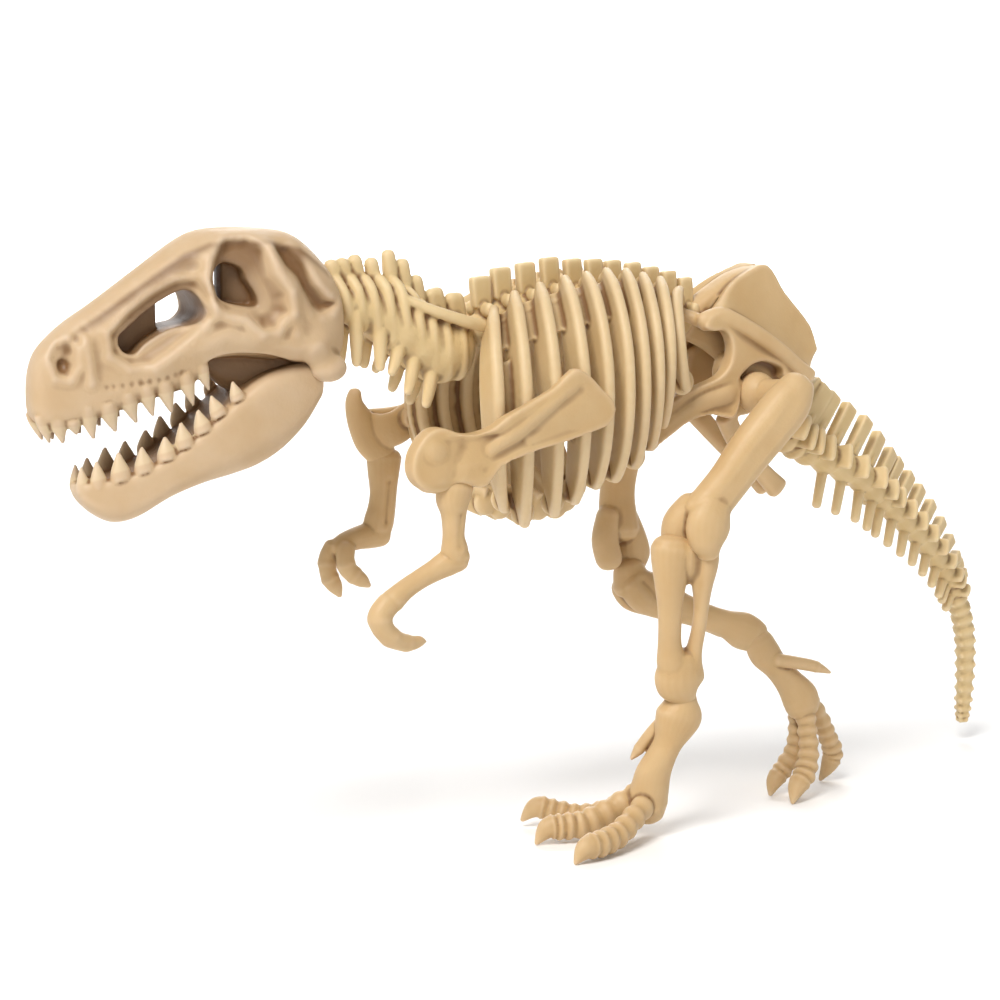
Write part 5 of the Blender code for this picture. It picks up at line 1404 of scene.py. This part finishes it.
RIGHT_THIGH_GROOVE = [(62.0, 28.2, 112.0), (60.6, 28.0, 102.0), (60.8, 27.4, 94.0),
                      (61.8, 27.6, 86.0), (62.6, 28.4, 78.6)]


def make_thigh(side, shaft, knobs, line):
    x, y, z = HIP
    clay = Clay()
    clay.ball((x, side * y, z), (HIP_RADIUS,) * 3)
    clay.tube([(x, side * y, z, 4.4, 4.4), (x + 0.8, side * (y + 7.0), z + 0.2, 4.2, 4.4),
               (x + 2.2, side * (y + 14.5), z + 0.6, 4.6, 5.0)])
    clay.tube(shaft, up=(0, 1, 0), power=2.3)
    for stations in knobs:
        clay.tube(stations, up=(0, 1, 0))
    thigh = fuse(clay.mesh_object("thigh"), 0.42, 14)
    groove(thigh, [line], 2.6, 0.4)
    return thigh


LEFT_SHIN = [
    [(45.8, -24.6, 92.0, 7.2, 5.6), (45.4, -24.6, 87.8, 6.5, 5.2), (45.4, -24.2, 80.4, 5.0, 4.2),
     (45.9, -23.4, 74.1, 4.1, 3.6), (46.5, -22.4, 67.7, 3.7, 3.4), (47.4, -21.0, 61.5, 3.8, 3.6),
     (48.8, -20.0, 56.3, 4.8, 4.4), (50.8, -19.2, 51.0, 4.4, 4.4)],
    [(55.2, -27.4, 91.0, 5.0, 4.6), (55.2, -27.4, 86.4, 4.6, 4.4), (55.3, -26.6, 79.3, 3.1, 3.2),
     (55.8, -25.4, 73.0, 2.4, 2.4), (55.8, -24.0, 66.0, 2.3, 2.3), (55.6, -22.0, 59.5, 2.5, 2.8),
     (55.4, -20.4, 54.4, 3.8, 3.8), (55.4, -19.6, 50.6, 4.2, 3.8)],
    [(52.6, -19.8, 56.4, 6.8, 4.8), (52.4, -19.0, 51.6, 8.4, 5.8), (52.6, -18.6, 48.2, 7.6, 5.6),
     (53.6, -18.2, 45.4, 5.0, 4.8)],
    [(51.0, -26.0, 91.4, 6.4, 5.0), (51.0, -26.0, 87.2, 5.6, 4.4), (51.0, -25.4, 84.0, 3.8, 3.0),
     (51.0, -25.0, 82.0, 2.4, 1.8)],
]
LEFT_SHIN_GROOVES = [[(50.6, -31.0, 91.0), (51.2, -30.8, 85.0), (51.6, -29.6, 78.0),
                      (51.6, -27.0, 73.0)]]
RIGHT_SHIN = [
    [(65.6, 28.2, 72.4, 5.6, 5.0), (69.6, 27.8, 69.0, 7.0, 5.4), (76.0, 27.0, 65.6, 6.2, 4.8),
     (84.6, 26.0, 62.0, 4.8, 3.8), (91.0, 24.6, 59.4, 4.3, 3.6), (97.2, 23.0, 57.0, 4.5, 3.8),
     (102.3, 21.0, 54.6, 6.2, 4.8), (106.4, 19.2, 52.6, 5.6, 5.0)],
    [(65.0, 33.0, 71.0, 5.0, 4.0), (69.0, 33.2, 67.0, 5.4, 4.0), (76.0, 31.4, 62.8, 3.4, 2.8),
     (86.0, 28.6, 59.4, 2.4, 2.1), (97.0, 24.4, 54.8, 2.8, 2.6)],
    [(65.0, 30.0, 76.4, 5.4, 4.8), (66.0, 30.0, 71.0, 6.6, 4.8)],
]
RIGHT_SHIN_GROOVES = [[(66.6, 22.8, 73.0), (71.0, 22.6, 67.6), (78.0, 22.6, 63.8)]]


def make_shin(parts, up, lines):
    clay = Clay()
    for stations in parts:
        clay.tube(stations, up=up)
    shin = fuse(clay.mesh_object("shin"), 0.42, 14)
    groove(shin, lines, 1.8, 0.7)
    return shin


LEFT_FOOT = [
    (54.2, -17.6, 43.4, 5.0, 4.8), (53.6, -17.2, 39.0, 7.6, 6.0), (52.0, -16.6, 34.6, 6.6, 5.4),
    (50.2, -16.0, 30.0, 4.5, 4.6), (48.2, -15.0, 25.3, 4.7, 4.6), (46.7, -13.4, 20.4, 5.7, 5.0),
    (46.4, -12.0, 15.6, 6.0, 5.8), (46.2, -10.6, 11.6, 6.6, 6.6), (46.6, -10.0, 8.6, 5.8, 6.2),
]
LEFT_TOES = [
    [(45.0, -13.0, 11.8, 3.3, 3.6), (37.0, -18.0, 8.8, 3.4, 3.7), (28.0, -23.2, 5.6, 3.6, 3.9),
     (20.0, -27.0, 4.8, 3.5, 4.0), (12.8, -29.2, 4.4, 3.0, 3.6), (8.8, -29.8, 0.6, 0.7, 0.8)],
    [(43.0, -8.5, 12.4, 3.6, 4.0), (34.0, -7.4, 8.4, 3.5, 4.0), (25.6, -6.0, 5.4, 3.5, 4.1),
     (19.0, -4.8, 5.2, 3.4, 4.0), (14.4, -4.0, 4.8, 2.8, 3.4), (10.8, -3.6, 0.7, 0.7, 0.8)],
    [(44.0, -3.5, 9.8, 3.0, 3.5), (38.0, 2.6, 5.8, 2.9, 3.5), (32.4, 8.0, 4.4, 3.0, 3.5),
     (27.0, 12.6, 5.4, 3.2, 3.6), (22.2, 15.8, 6.4, 2.9, 3.3), (18.6, 18.4, 2.4, 0.7, 0.8)],
]
LEFT_SPUR = [(49.4, -13.0, 35.4, 2.2, 2.4), (46.8, -10.4, 31.2, 2.0, 2.1),
             (44.2, -8.4, 26.8, 1.6, 1.7), (42.4, -7.4, 24.2, 0.5, 0.6)]
RIGHT_FOOT = [
    (107.0, 17.6, 51.0, 4.8, 4.8), (109.0, 16.8, 46.8, 5.2, 5.2), (113.2, 16.0, 41.9, 4.2, 4.8),
    (117.3, 15.0, 37.1, 4.8, 4.8), (120.8, 14.0, 32.1, 6.2, 5.4), (121.8, 13.6, 28.6, 5.8, 5.2),
]
RIGHT_TOES = [
    [(126.6, 16.0, 29.6, 2.8, 3.2), (132.6, 18.4, 22.4, 2.7, 3.2), (137.0, 20.4, 15.8, 2.8, 3.2),
     (140.2, 21.8, 10.0, 3.2, 3.4), (139.4, 22.6, 5.6, 2.8, 2.9), (136.2, 23.0, 0.8, 0.7, 0.8)],
    [(122.0, 12.4, 27.6, 2.9, 3.4), (121.8, 10.8, 21.4, 2.8, 3.3), (120.8, 8.4, 14.6, 3.0, 3.4),
     (117.6, 5.8, 8.6, 3.4, 3.7), (112.8, 3.4, 4.8, 2.9, 3.1), (109.6, 1.2, 0.6, 0.7, 0.8)],
    [(121.8, 17.0, 27.4, 2.6, 3.0), (122.2, 17.0, 21.0, 2.6, 3.0), (120.8, 16.6, 14.0, 2.7, 3.1),
     (116.2, 15.8, 8.4, 3.0, 3.3), (112.0, 14.8, 4.8, 2.7, 2.9), (109.4, 13.6, 0.7, 0.7, 0.8)],
]
RIGHT_SPUR = [(110.6, 12.4, 45.4, 2.2, 2.4), (116.9, 9.8, 44.2, 2.1, 2.1),
              (121.9, 8.8, 43.0, 2.0, 2.0), (125.2, 8.4, 41.8, 1.5, 1.6), (128.6, 8.0, 40.2, 0.5, 0.6)]
CLAW_FROM = 0.74


def ringed_toe(clay, points, up, rings):
    """A toe whose bones swell in rings down to a smooth claw."""
    rows = spline_rows(points, 24)
    stations = []
    for k, (x, y, z, side, high) in enumerate(rows):
        share = k / (len(rows) - 1.0)
        wave = 0.1 * math.cos(2.0 * math.pi * rings * share / CLAW_FROM)
        swell = 1.0 + (wave if share < CLAW_FROM else 0.0)
        stations.append((x, y, z, side * swell, high * swell))
    clay.tube(stations, up=up, smooth=False, sides=20)


def make_foot(shaft, toes, spur, toe_up, rings):
    clay = Clay()
    clay.tube(shaft, up=(0, 1, 0), sides=24)
    for points in toes:
        ringed_toe(clay, points, toe_up, rings)
    clay.tube(knuckled(spur, (0.62,), 0.1), up=(0, 1, 0), smooth=False)
    foot = fuse(clay.mesh_object("foot"), 0.4, 3)
    points, _ = read_points(foot)
    points[:, 2] = np.maximum(points[:, 2], 0.02)
    write_points(foot, points)
    return foot


# Tail: centre line, then the half width and half height of its bones
TAIL_PATH = [(101.5, 1.6, 124.5, 4.8, 5.2), (107.0, 3.0, 119.4, 4.8, 5.2),
             (114.0, 4.4, 115.8, 4.7, 5.0), (127.7, 8.0, 110.0, 4.4, 4.7),
             (143.1, 13.0, 103.0, 4.1, 4.3), (155.1, 18.0, 95.4, 3.9, 4.1),
             (167.3, 23.0, 87.4, 3.7, 3.9), (180.0, 28.6, 79.0, 3.5, 3.7),
             (191.2, 33.6, 69.6, 3.3, 3.4), (199.5, 37.4, 60.6, 3.2, 3.3),
             (207.4, 41.2, 50.0, 3.3, 3.4), (212.6, 44.4, 38.0, 3.2, 3.2),
             (215.4, 47.4, 25.0, 2.9, 2.9), (216.6, 49.6, 13.0, 2.4, 2.4),
             (216.9, 50.4, 7.0, 1.2, 1.2)]
TAIL_SIDE = (0.45, -0.89, 0.0)
TAIL_CUTS = (0.0, 5.0, 9.0, 14.0)
TAIL_BONES = (8, 7, 15)
TAIL_BUMPS_FROM = 9.6
CHEVRONS_FROM = 2.4


def tail_at(place):
    last = len(TAIL_PATH) - 1
    k = min(int(place), last - 1)
    rows = np.array([TAIL_PATH[min(max(k + d, 0), last)] for d in (-1, 0, 1, 2)])
    t = place - k
    a, b, c, d = rows
    return 0.5 * (2 * b + (c - a) * t + (2 * a - 5 * b + 4 * c - d) * t * t
                  + (3 * b - a - 3 * c + d) * t ** 3)


def tail_frame(place):
    """Directions along the tail, out to its left and up out of its back."""
    last = len(TAIL_PATH) - 1
    along = unit(tail_at(min(place + 0.2, last))[:3] - tail_at(max(place - 0.2, 0))[:3])
    heading = (0.86, 0.5) if place > 4 else (0.95, 0.3)
    left = unit((heading[1], -heading[0], 0.0))
    back = unit(np.cross(left, along))
    if back[2] < 0 and back[0] < 0:
        back = -back
    return along, left, back


def make_tail(trees, material, thickness, length):
    first, last, count = TAIL_CUTS[length], TAIL_CUTS[length + 1], TAIL_BONES[length]
    first -= 0.2 if length else 0.0
    clay = Clay()
    stations = []
    for k in range(8 * count + 1):
        place = first + (last - first) * k / (8.0 * count)
        x, y, z, wide, high = tail_at(place)
        swell = 0.95 - 0.1 * math.cos(2.0 * math.pi * k / 8.0)
        stations.append((x, y, z, high * swell * 1.12, wide * swell * 1.12))
    clay.tube(stations, up=TAIL_SIDE, smooth=False, bulge=0.2)
    plates = []
    for k in range(count):
        place = first + (last - first) * (k + 0.5) / count
        x, y, z, wide, high = tail_at(place)
        centre = np.array((x, y, z))
        along, left, back = tail_frame(place)
        size = max(1.0 - place / (len(TAIL_PATH) - 1.0), 0.0)
        if place > TAIL_BUMPS_FROM:
            for away in (back, left, -left, -back):
                tip = centre + away * (wide + 0.4)
                clay.tube([(*centre, 1.2, 1.2), (*tip, 0.8, 0.9)], up=along)
            continue
        rise = high + 2.0 + 15.2 * size ** 1.1
        root = centre + back * high * 0.3
        tip = centre + back * rise + along * rise * 0.3
        broad = (tip - root) * 1.04
        plates.append((root + broad * 0.5, root + broad * 1.5, 3.9 * (0.6 + size), thickness,
                       along))
        clay.tube([(*(centre + left * 1.2), 2.4, 1.6),
                   (*(centre + left * 1.0 + back * rise * 0.5 + along * rise * 0.16), 1.2, 1.0)],
                  up=left)
        if place > CHEVRONS_FROM:
            fall = high + 0.8 + 12.6 * size
            root = centre - back * high * 0.4
            tip = centre - back * fall + along * fall * 0.1
            clay.tube([(*root, 1.9, 1.8), (*tip, 1.6, 1.5)], up=along)
        reach = wide + 0.8 + 3.2 * size
        for side in (1.0, -1.0):
            tip = centre + left * side * reach + along * reach * 0.3 + back * 2.0 * size
            clay.tube([(*centre, 1.6, 3.0), (*tip, 1.2, 3.6 * (0.4 + size))], up=back, power=3.0)
    if plates:
        clay.take(copies(trees["bar"], plates, {"Roundness": 0.34, "Taper": 0.12,
                                                "Material": material}))
    return fuse(clay.mesh_object("tail"), 0.4, 2)


# Stage

CAMERA_AT = np.array((-468.9, -812.2, 238.7))
CAMERA_TURN = (math.radians(-30.0), math.radians(8.0))
CAMERA_ANGLE = math.radians(18.0)
FLOOR_REACH = 6.0
BACKDROP_AT, BACKDROP_HIGH, BACKDROP_CURVE = 5.0, 3.0, 1.6


def make_camera():
    data = bpy.data.cameras.new("camera")
    data.angle = CAMERA_ANGLE
    data.clip_start, data.clip_end = 0.01, 20.0
    camera = bpy.data.objects.new("camera", data)
    bpy.context.scene.collection.objects.link(camera)
    turn, tilt = CAMERA_TURN
    back = Vector((math.sin(turn) * math.cos(tilt), -math.cos(turn) * math.cos(tilt),
                   math.sin(tilt)))
    camera.location = Vector((CAMERA_AT - BOX_CENTRE) * MM)
    camera.rotation_euler = (-back).to_track_quat("-Z", "Y").to_euler()
    bpy.context.scene.camera = camera


def soft_light(name, place, aim, size, power, colour=(1.0, 1.0, 1.0)):
    data = bpy.data.lights.new(name, "AREA")
    data.shape = "DISK"
    data.size = size
    data.energy = power
    data.color = colour
    lamp = bpy.data.objects.new(name, data)
    bpy.context.scene.collection.objects.link(lamp)
    lamp.location = place
    lamp.rotation_euler = (Vector(aim) - Vector(place)).to_track_quat("-Z", "Y").to_euler()


def make_floor():
    """A pale floor that curves up into a backdrop behind the model."""
    away = unit(np.array((-math.sin(CAMERA_TURN[0]), math.cos(CAMERA_TURN[0]), 0.0)))
    across = np.array((away[1], -away[0], 0.0))
    profile = [(-FLOOR_REACH, 0.0), (BACKDROP_AT - BACKDROP_CURVE, 0.0)]
    for k in range(1, 25):
        turn = math.pi / 2.0 * k / 24.0
        profile.append((BACKDROP_AT - BACKDROP_CURVE + BACKDROP_CURVE * math.sin(turn),
                        BACKDROP_CURVE * (1.0 - math.cos(turn))))
    profile.append((BACKDROP_AT, BACKDROP_HIGH))
    points, faces = [], []
    for far, height in profile:
        for side in (-FLOOR_REACH, FLOOR_REACH):
            points.append(tuple(away * far + across * side + UP * height))
    for k in range(len(profile) - 1):
        faces.append((2 * k, 2 * k + 1, 2 * k + 3, 2 * k + 2))
    data = bpy.data.meshes.new("floor")
    data.from_pydata(points, [], faces)
    floor = link("floor", data)
    for face in data.polygons:
        face.use_smooth = True
    material = bpy.data.materials.new("pale_floor")
    material.use_nodes = True
    shader = material.node_tree.nodes["Principled BSDF"]
    shader.inputs["Base Color"].default_value = (0.93, 0.93, 0.93, 1.0)
    shader.inputs["Roughness"].default_value = 0.9
    shader.inputs["Specular IOR Level"].default_value = 0.1
    data.materials.append(material)


def make_world(strength):
    world = bpy.data.worlds.new("studio")
    bpy.context.scene.world = world
    world.use_nodes = True
    back = world.node_tree.nodes["Background"]
    back.inputs["Color"].default_value = (1.0, 1.0, 1.0, 1.0)
    back.inputs["Strength"].default_value = strength


# Settings, operators and panel

class SkeletonSettings(bpy.types.PropertyGroup):
    bone_colour: FloatVectorProperty(
        name="Bone Colour", description="Plastic of the shoulders, arms, hips, legs and feet",
        subtype="COLOR", size=3, min=0.0, max=1.0, default=(0.56, 0.385, 0.195))
    skull_colour: FloatVectorProperty(
        name="Skull Colour", description="Plastic of the skull and jaw",
        subtype="COLOR", size=3, min=0.0, max=1.0, default=(0.56, 0.405, 0.25))
    spine_colour: FloatVectorProperty(
        name="Spine Colour", description="Plastic of the neck, back and tail",
        subtype="COLOR", size=3, min=0.0, max=1.0, default=(0.64, 0.48, 0.25))
    rib_colour: FloatVectorProperty(
        name="Rib Colour", description="Plastic of the ribs",
        subtype="COLOR", size=3, min=0.0, max=1.0, default=(0.6, 0.44, 0.235))
    # Painted shade colour: mixed into creases, hollows and the inside of the head in place of real shade
    painted_shade_colour: FloatVectorProperty(
        name="Deep Colour", description="Tint of the plastic in grooves and hollows",
        subtype="COLOR", size=3, min=0.0, max=1.0, default=(0.2, 0.1, 0.038))
    roughness: FloatProperty(
        name="Roughness", description="How dull the plastic is", default=0.46, min=0.05, max=1.0)
    grain_depth: FloatProperty(
        name="Grain Depth", description="Depth of the mould's grain in the surface",
        default=0.00045, min=0.0, max=0.002, precision=5, unit="LENGTH")
    tooth_curve: FloatProperty(
        name="Tooth Curve", description="How far each tooth leans back at its tip",
        default=0.3, min=0.0, max=1.5)
    tooth_belly: FloatProperty(
        name="Tooth Belly", description="How full each tooth is below its tip",
        default=1.1, min=0.0, max=3.0)
    tooth_tip: FloatProperty(
        name="Tooth Tip", description="Width of a tooth's tip as a share of its root",
        default=0.16, min=0.02, max=1.0)
    rib_width: FloatProperty(
        name="Rib Width", description="Width of a rib's band", default=0.0098,
        min=0.001, max=0.012, unit="LENGTH")
    spine_thickness: FloatProperty(
        name="Spine Thickness", description="Thickness of the flat spines of back and tail",
        default=0.0034, min=0.001, max=0.008, unit="LENGTH")
    toe_rings: IntProperty(
        name="Toe Rings", description="Rings on each toe before its claw",
        default=7, min=0, max=14)
    key_power: FloatProperty(
        name="Key Light", description="Power of the large light from the front left",
        default=352.0, min=0.0, unit="POWER")
    back_power: FloatProperty(
        name="Back Light", description="Power of the light on the white backdrop",
        default=250.0, min=0.0, unit="POWER")
    surround: FloatProperty(
        name="Surround", description="Brightness of the white room around the model",
        default=0.44, min=0.0, max=5.0)


def settings():
    return bpy.context.scene.skeleton


def colour_of(kind):
    values = settings()
    base = {"bone": values.bone_colour, "skull": values.skull_colour,
            "spine": values.spine_colour, "rib": values.rib_colour}[kind]
    return plastic("plastic_" + kind, tuple(base), tuple(values.painted_shade_colour), values.roughness,
                   values.grain_depth)


def tree_of(kind):
    """The geometry tree of a kind of repeated part, made at its first use."""
    name = {"tooth": "toy_teeth", "bar": "toy_bars", "band": "toy_bands"}[kind]
    if name in bpy.data.node_groups:
        return bpy.data.node_groups[name]
    return {"tooth": tooth_tree, "bar": bar_tree, "band": band_tree}[kind]()


def tooth_values():
    values = settings()
    return {"Curve": values.tooth_curve, "Belly": values.tooth_belly,
            "Tip Width": values.tooth_tip}


class AddSkull(bpy.types.Operator):
    """Add the skull with its openings and upper teeth"""
    bl_idname = "skeleton.add_skull"
    bl_label = "Skull"

    def execute(self, context):
        material = colour_of("skull")
        skull = make_skull({"tooth": tree_of("tooth")}, tooth_values(), material)
        finish_piece(skull, "skull_shell", ["skull"], material)
        return {"FINISHED"}


class AddJaw(bpy.types.Operator):
    """Add the lower jaw with its teeth"""
    bl_idname = "skeleton.add_jaw"
    bl_label = "Jaw"

    def execute(self, context):
        material = colour_of("skull")
        jaw = make_jaw({"tooth": tree_of("tooth")}, tooth_values(), material)
        finish_piece(jaw, "jaw_shell", ["jaw"], material)
        return {"FINISHED"}


class AddNeck(bpy.types.Operator):
    """Add the neck bones with their spines and rods"""
    bl_idname = "skeleton.add_neck"
    bl_label = "Neck"

    def execute(self, context):
        finish_piece(make_neck(), "neck_bones", ["neck"], colour_of("spine"))
        return {"FINISHED"}


class AddBack(bpy.types.Operator):
    """Add the back bones with their flat spines"""
    bl_idname = "skeleton.add_back"
    bl_label = "Back"

    def execute(self, context):
        material = colour_of("spine")
        back = make_back({"bar": tree_of("bar")}, material, settings().spine_thickness / MM)
        finish_piece(back, "back_bones", ["back"], material)
        return {"FINISHED"}


class AddRibs(bpy.types.Operator):
    """Add the ribs of both sides"""
    bl_idname = "skeleton.add_ribs"
    bl_label = "Ribs"

    def execute(self, context):
        material = colour_of("rib")
        width = settings().rib_width / MM
        for name, side, ends in (("left", -1.0, LEFT_RIB_ENDS), ("right", 1.0, RIGHT_RIB_ENDS)):
            ribs = make_ribs({"band": tree_of("band")}, material, width, side, ends)
            finish_piece(ribs, "ribs_" + name + "_side", ["ribs_" + name], material)
        return {"FINISHED"}


class AddShoulders(bpy.types.Operator):
    """Add both shoulder blades"""
    bl_idname = "skeleton.add_shoulders"
    bl_label = "Shoulders"

    def execute(self, context):
        material = colour_of("bone")
        finish_piece(make_shoulder_left(), "shoulder_blade_left", ["shoulder_left"], material)
        finish_piece(make_shoulder_right(), "shoulder_blade_right", ["shoulder_right"], material)
        return {"FINISHED"}


class AddArms(bpy.types.Operator):
    """Add both arms with their hands"""
    bl_idname = "skeleton.add_arms"
    bl_label = "Arms"

    def execute(self, context):
        material = colour_of("bone")
        finish_piece(make_arm_left(), "arm_bones_left", ["arm_left"], material)
        finish_piece(make_arm_right(), "arm_bones_right", ["arm_right"], material)
        return {"FINISHED"}


class AddHips(bpy.types.Operator):
    """Add the hip bones"""
    bl_idname = "skeleton.add_hips"
    bl_label = "Hips"

    def execute(self, context):
        finish_piece(make_pelvis(), "hip_bones", ["pelvis"], colour_of("bone"))
        return {"FINISHED"}


class AddThighs(bpy.types.Operator):
    """Add both thigh bones"""
    bl_idname = "skeleton.add_thighs"
    bl_label = "Thighs"

    def execute(self, context):
        material = colour_of("bone")
        left = make_thigh(-1.0, LEFT_THIGH, LEFT_THIGH_KNOBS, LEFT_THIGH_GROOVE)
        right = make_thigh(1.0, RIGHT_THIGH, RIGHT_THIGH_KNOBS, RIGHT_THIGH_GROOVE)
        finish_piece(left, "thigh_left", ["femur_left"], material)
        finish_piece(right, "thigh_right", ["femur_right"], material)
        return {"FINISHED"}


class AddShins(bpy.types.Operator):
    """Add the shin bones of both legs"""
    bl_idname = "skeleton.add_shins"
    bl_label = "Shins"

    def execute(self, context):
        material = colour_of("bone")
        left = make_shin(LEFT_SHIN, (0, 1, 0), LEFT_SHIN_GROOVES)
        right = make_shin(RIGHT_SHIN, (0, 1, 0), RIGHT_SHIN_GROOVES)
        finish_piece(left, "shin_bones_left", ["shin_left"], material)
        finish_piece(right, "shin_bones_right", ["shin_right"], material)
        return {"FINISHED"}


class AddFeet(bpy.types.Operator):
    """Add both feet with their ringed toes"""
    bl_idname = "skeleton.add_feet"
    bl_label = "Feet"

    def execute(self, context):
        material = colour_of("bone")
        rings = settings().toe_rings
        left = make_foot(LEFT_FOOT, LEFT_TOES, LEFT_SPUR, (0.2, 0, 1), rings)
        right = make_foot(RIGHT_FOOT, RIGHT_TOES, RIGHT_SPUR, (-0.3, 1, 0), rings)
        finish_piece(left, "foot_bones_left", ["foot_left"], material)
        finish_piece(right, "foot_bones_right", ["foot_right"], material)
        return {"FINISHED"}


class AddTail(bpy.types.Operator):
    """Add the three lengths of the tail"""
    bl_idname = "skeleton.add_tail"
    bl_label = "Tail"

    def execute(self, context):
        material = colour_of("spine")
        thickness = settings().spine_thickness / MM
        for index, name in enumerate(("base", "middle", "tip")):
            tail = make_tail({"bar": tree_of("bar")}, material, thickness, index)
            finish_piece(tail, "tail_bones_" + name, ["tail_" + name], material)
        return {"FINISHED"}


class SetStage(bpy.types.Operator):
    """Add the camera, the pale floor and the soft studio light"""
    bl_idname = "skeleton.set_stage"
    bl_label = "Stage"

    def execute(self, context):
        values = settings()
        make_camera()
        make_floor()
        make_world(values.surround)
        soft_light("key", (-3.4, -2.4, 4.6), (0.0, 0.0, 0.1), 2.8, values.key_power,
                   (1.0, 0.985, 0.96))
        soft_light("back", (1.5, 2.6, 3.2), (2.6, 4.5, 0.3), 2.0, values.back_power)
        context.scene.view_settings.view_transform = "Standard"
        return {"FINISHED"}


OPERATORS = (SetStage, AddSkull, AddJaw, AddNeck, AddBack, AddRibs, AddShoulders, AddArms,
             AddHips, AddThighs, AddShins, AddFeet, AddTail)


class SkeletonPanel(bpy.types.Panel):
    bl_idname = "VIEW3D_PT_skeleton"
    bl_label = "Skeleton"
    bl_space_type = "VIEW_3D"
    bl_region_type = "UI"
    bl_category = "Skeleton"

    def draw(self, context):
        column = self.layout.column(align=True)
        for name in SkeletonSettings.__annotations__:
            column.prop(context.scene.skeleton, name)
        column.separator()
        for kind in OPERATORS:
            column.operator(kind.bl_idname)


CLASSES = (SkeletonSettings, *OPERATORS, SkeletonPanel)


def register():
    for kind in CLASSES:
        bpy.utils.register_class(kind)
    bpy.types.Scene.skeleton = PointerProperty(type=SkeletonSettings)


def unregister():
    del bpy.types.Scene.skeleton
    for kind in reversed(CLASSES):
        bpy.utils.unregister_class(kind)


def main():
    register()
    bpy.ops.skeleton.set_stage()
    bpy.ops.skeleton.add_skull()
    bpy.ops.skeleton.add_jaw()
    bpy.ops.skeleton.add_neck()
    bpy.ops.skeleton.add_back()
    bpy.ops.skeleton.add_ribs()
    bpy.ops.skeleton.add_shoulders()
    bpy.ops.skeleton.add_arms()
    bpy.ops.skeleton.add_hips()
    bpy.ops.skeleton.add_thighs()
    bpy.ops.skeleton.add_shins()
    bpy.ops.skeleton.add_feet()
    bpy.ops.skeleton.add_tail()


if __name__ == "__main__":
    main()
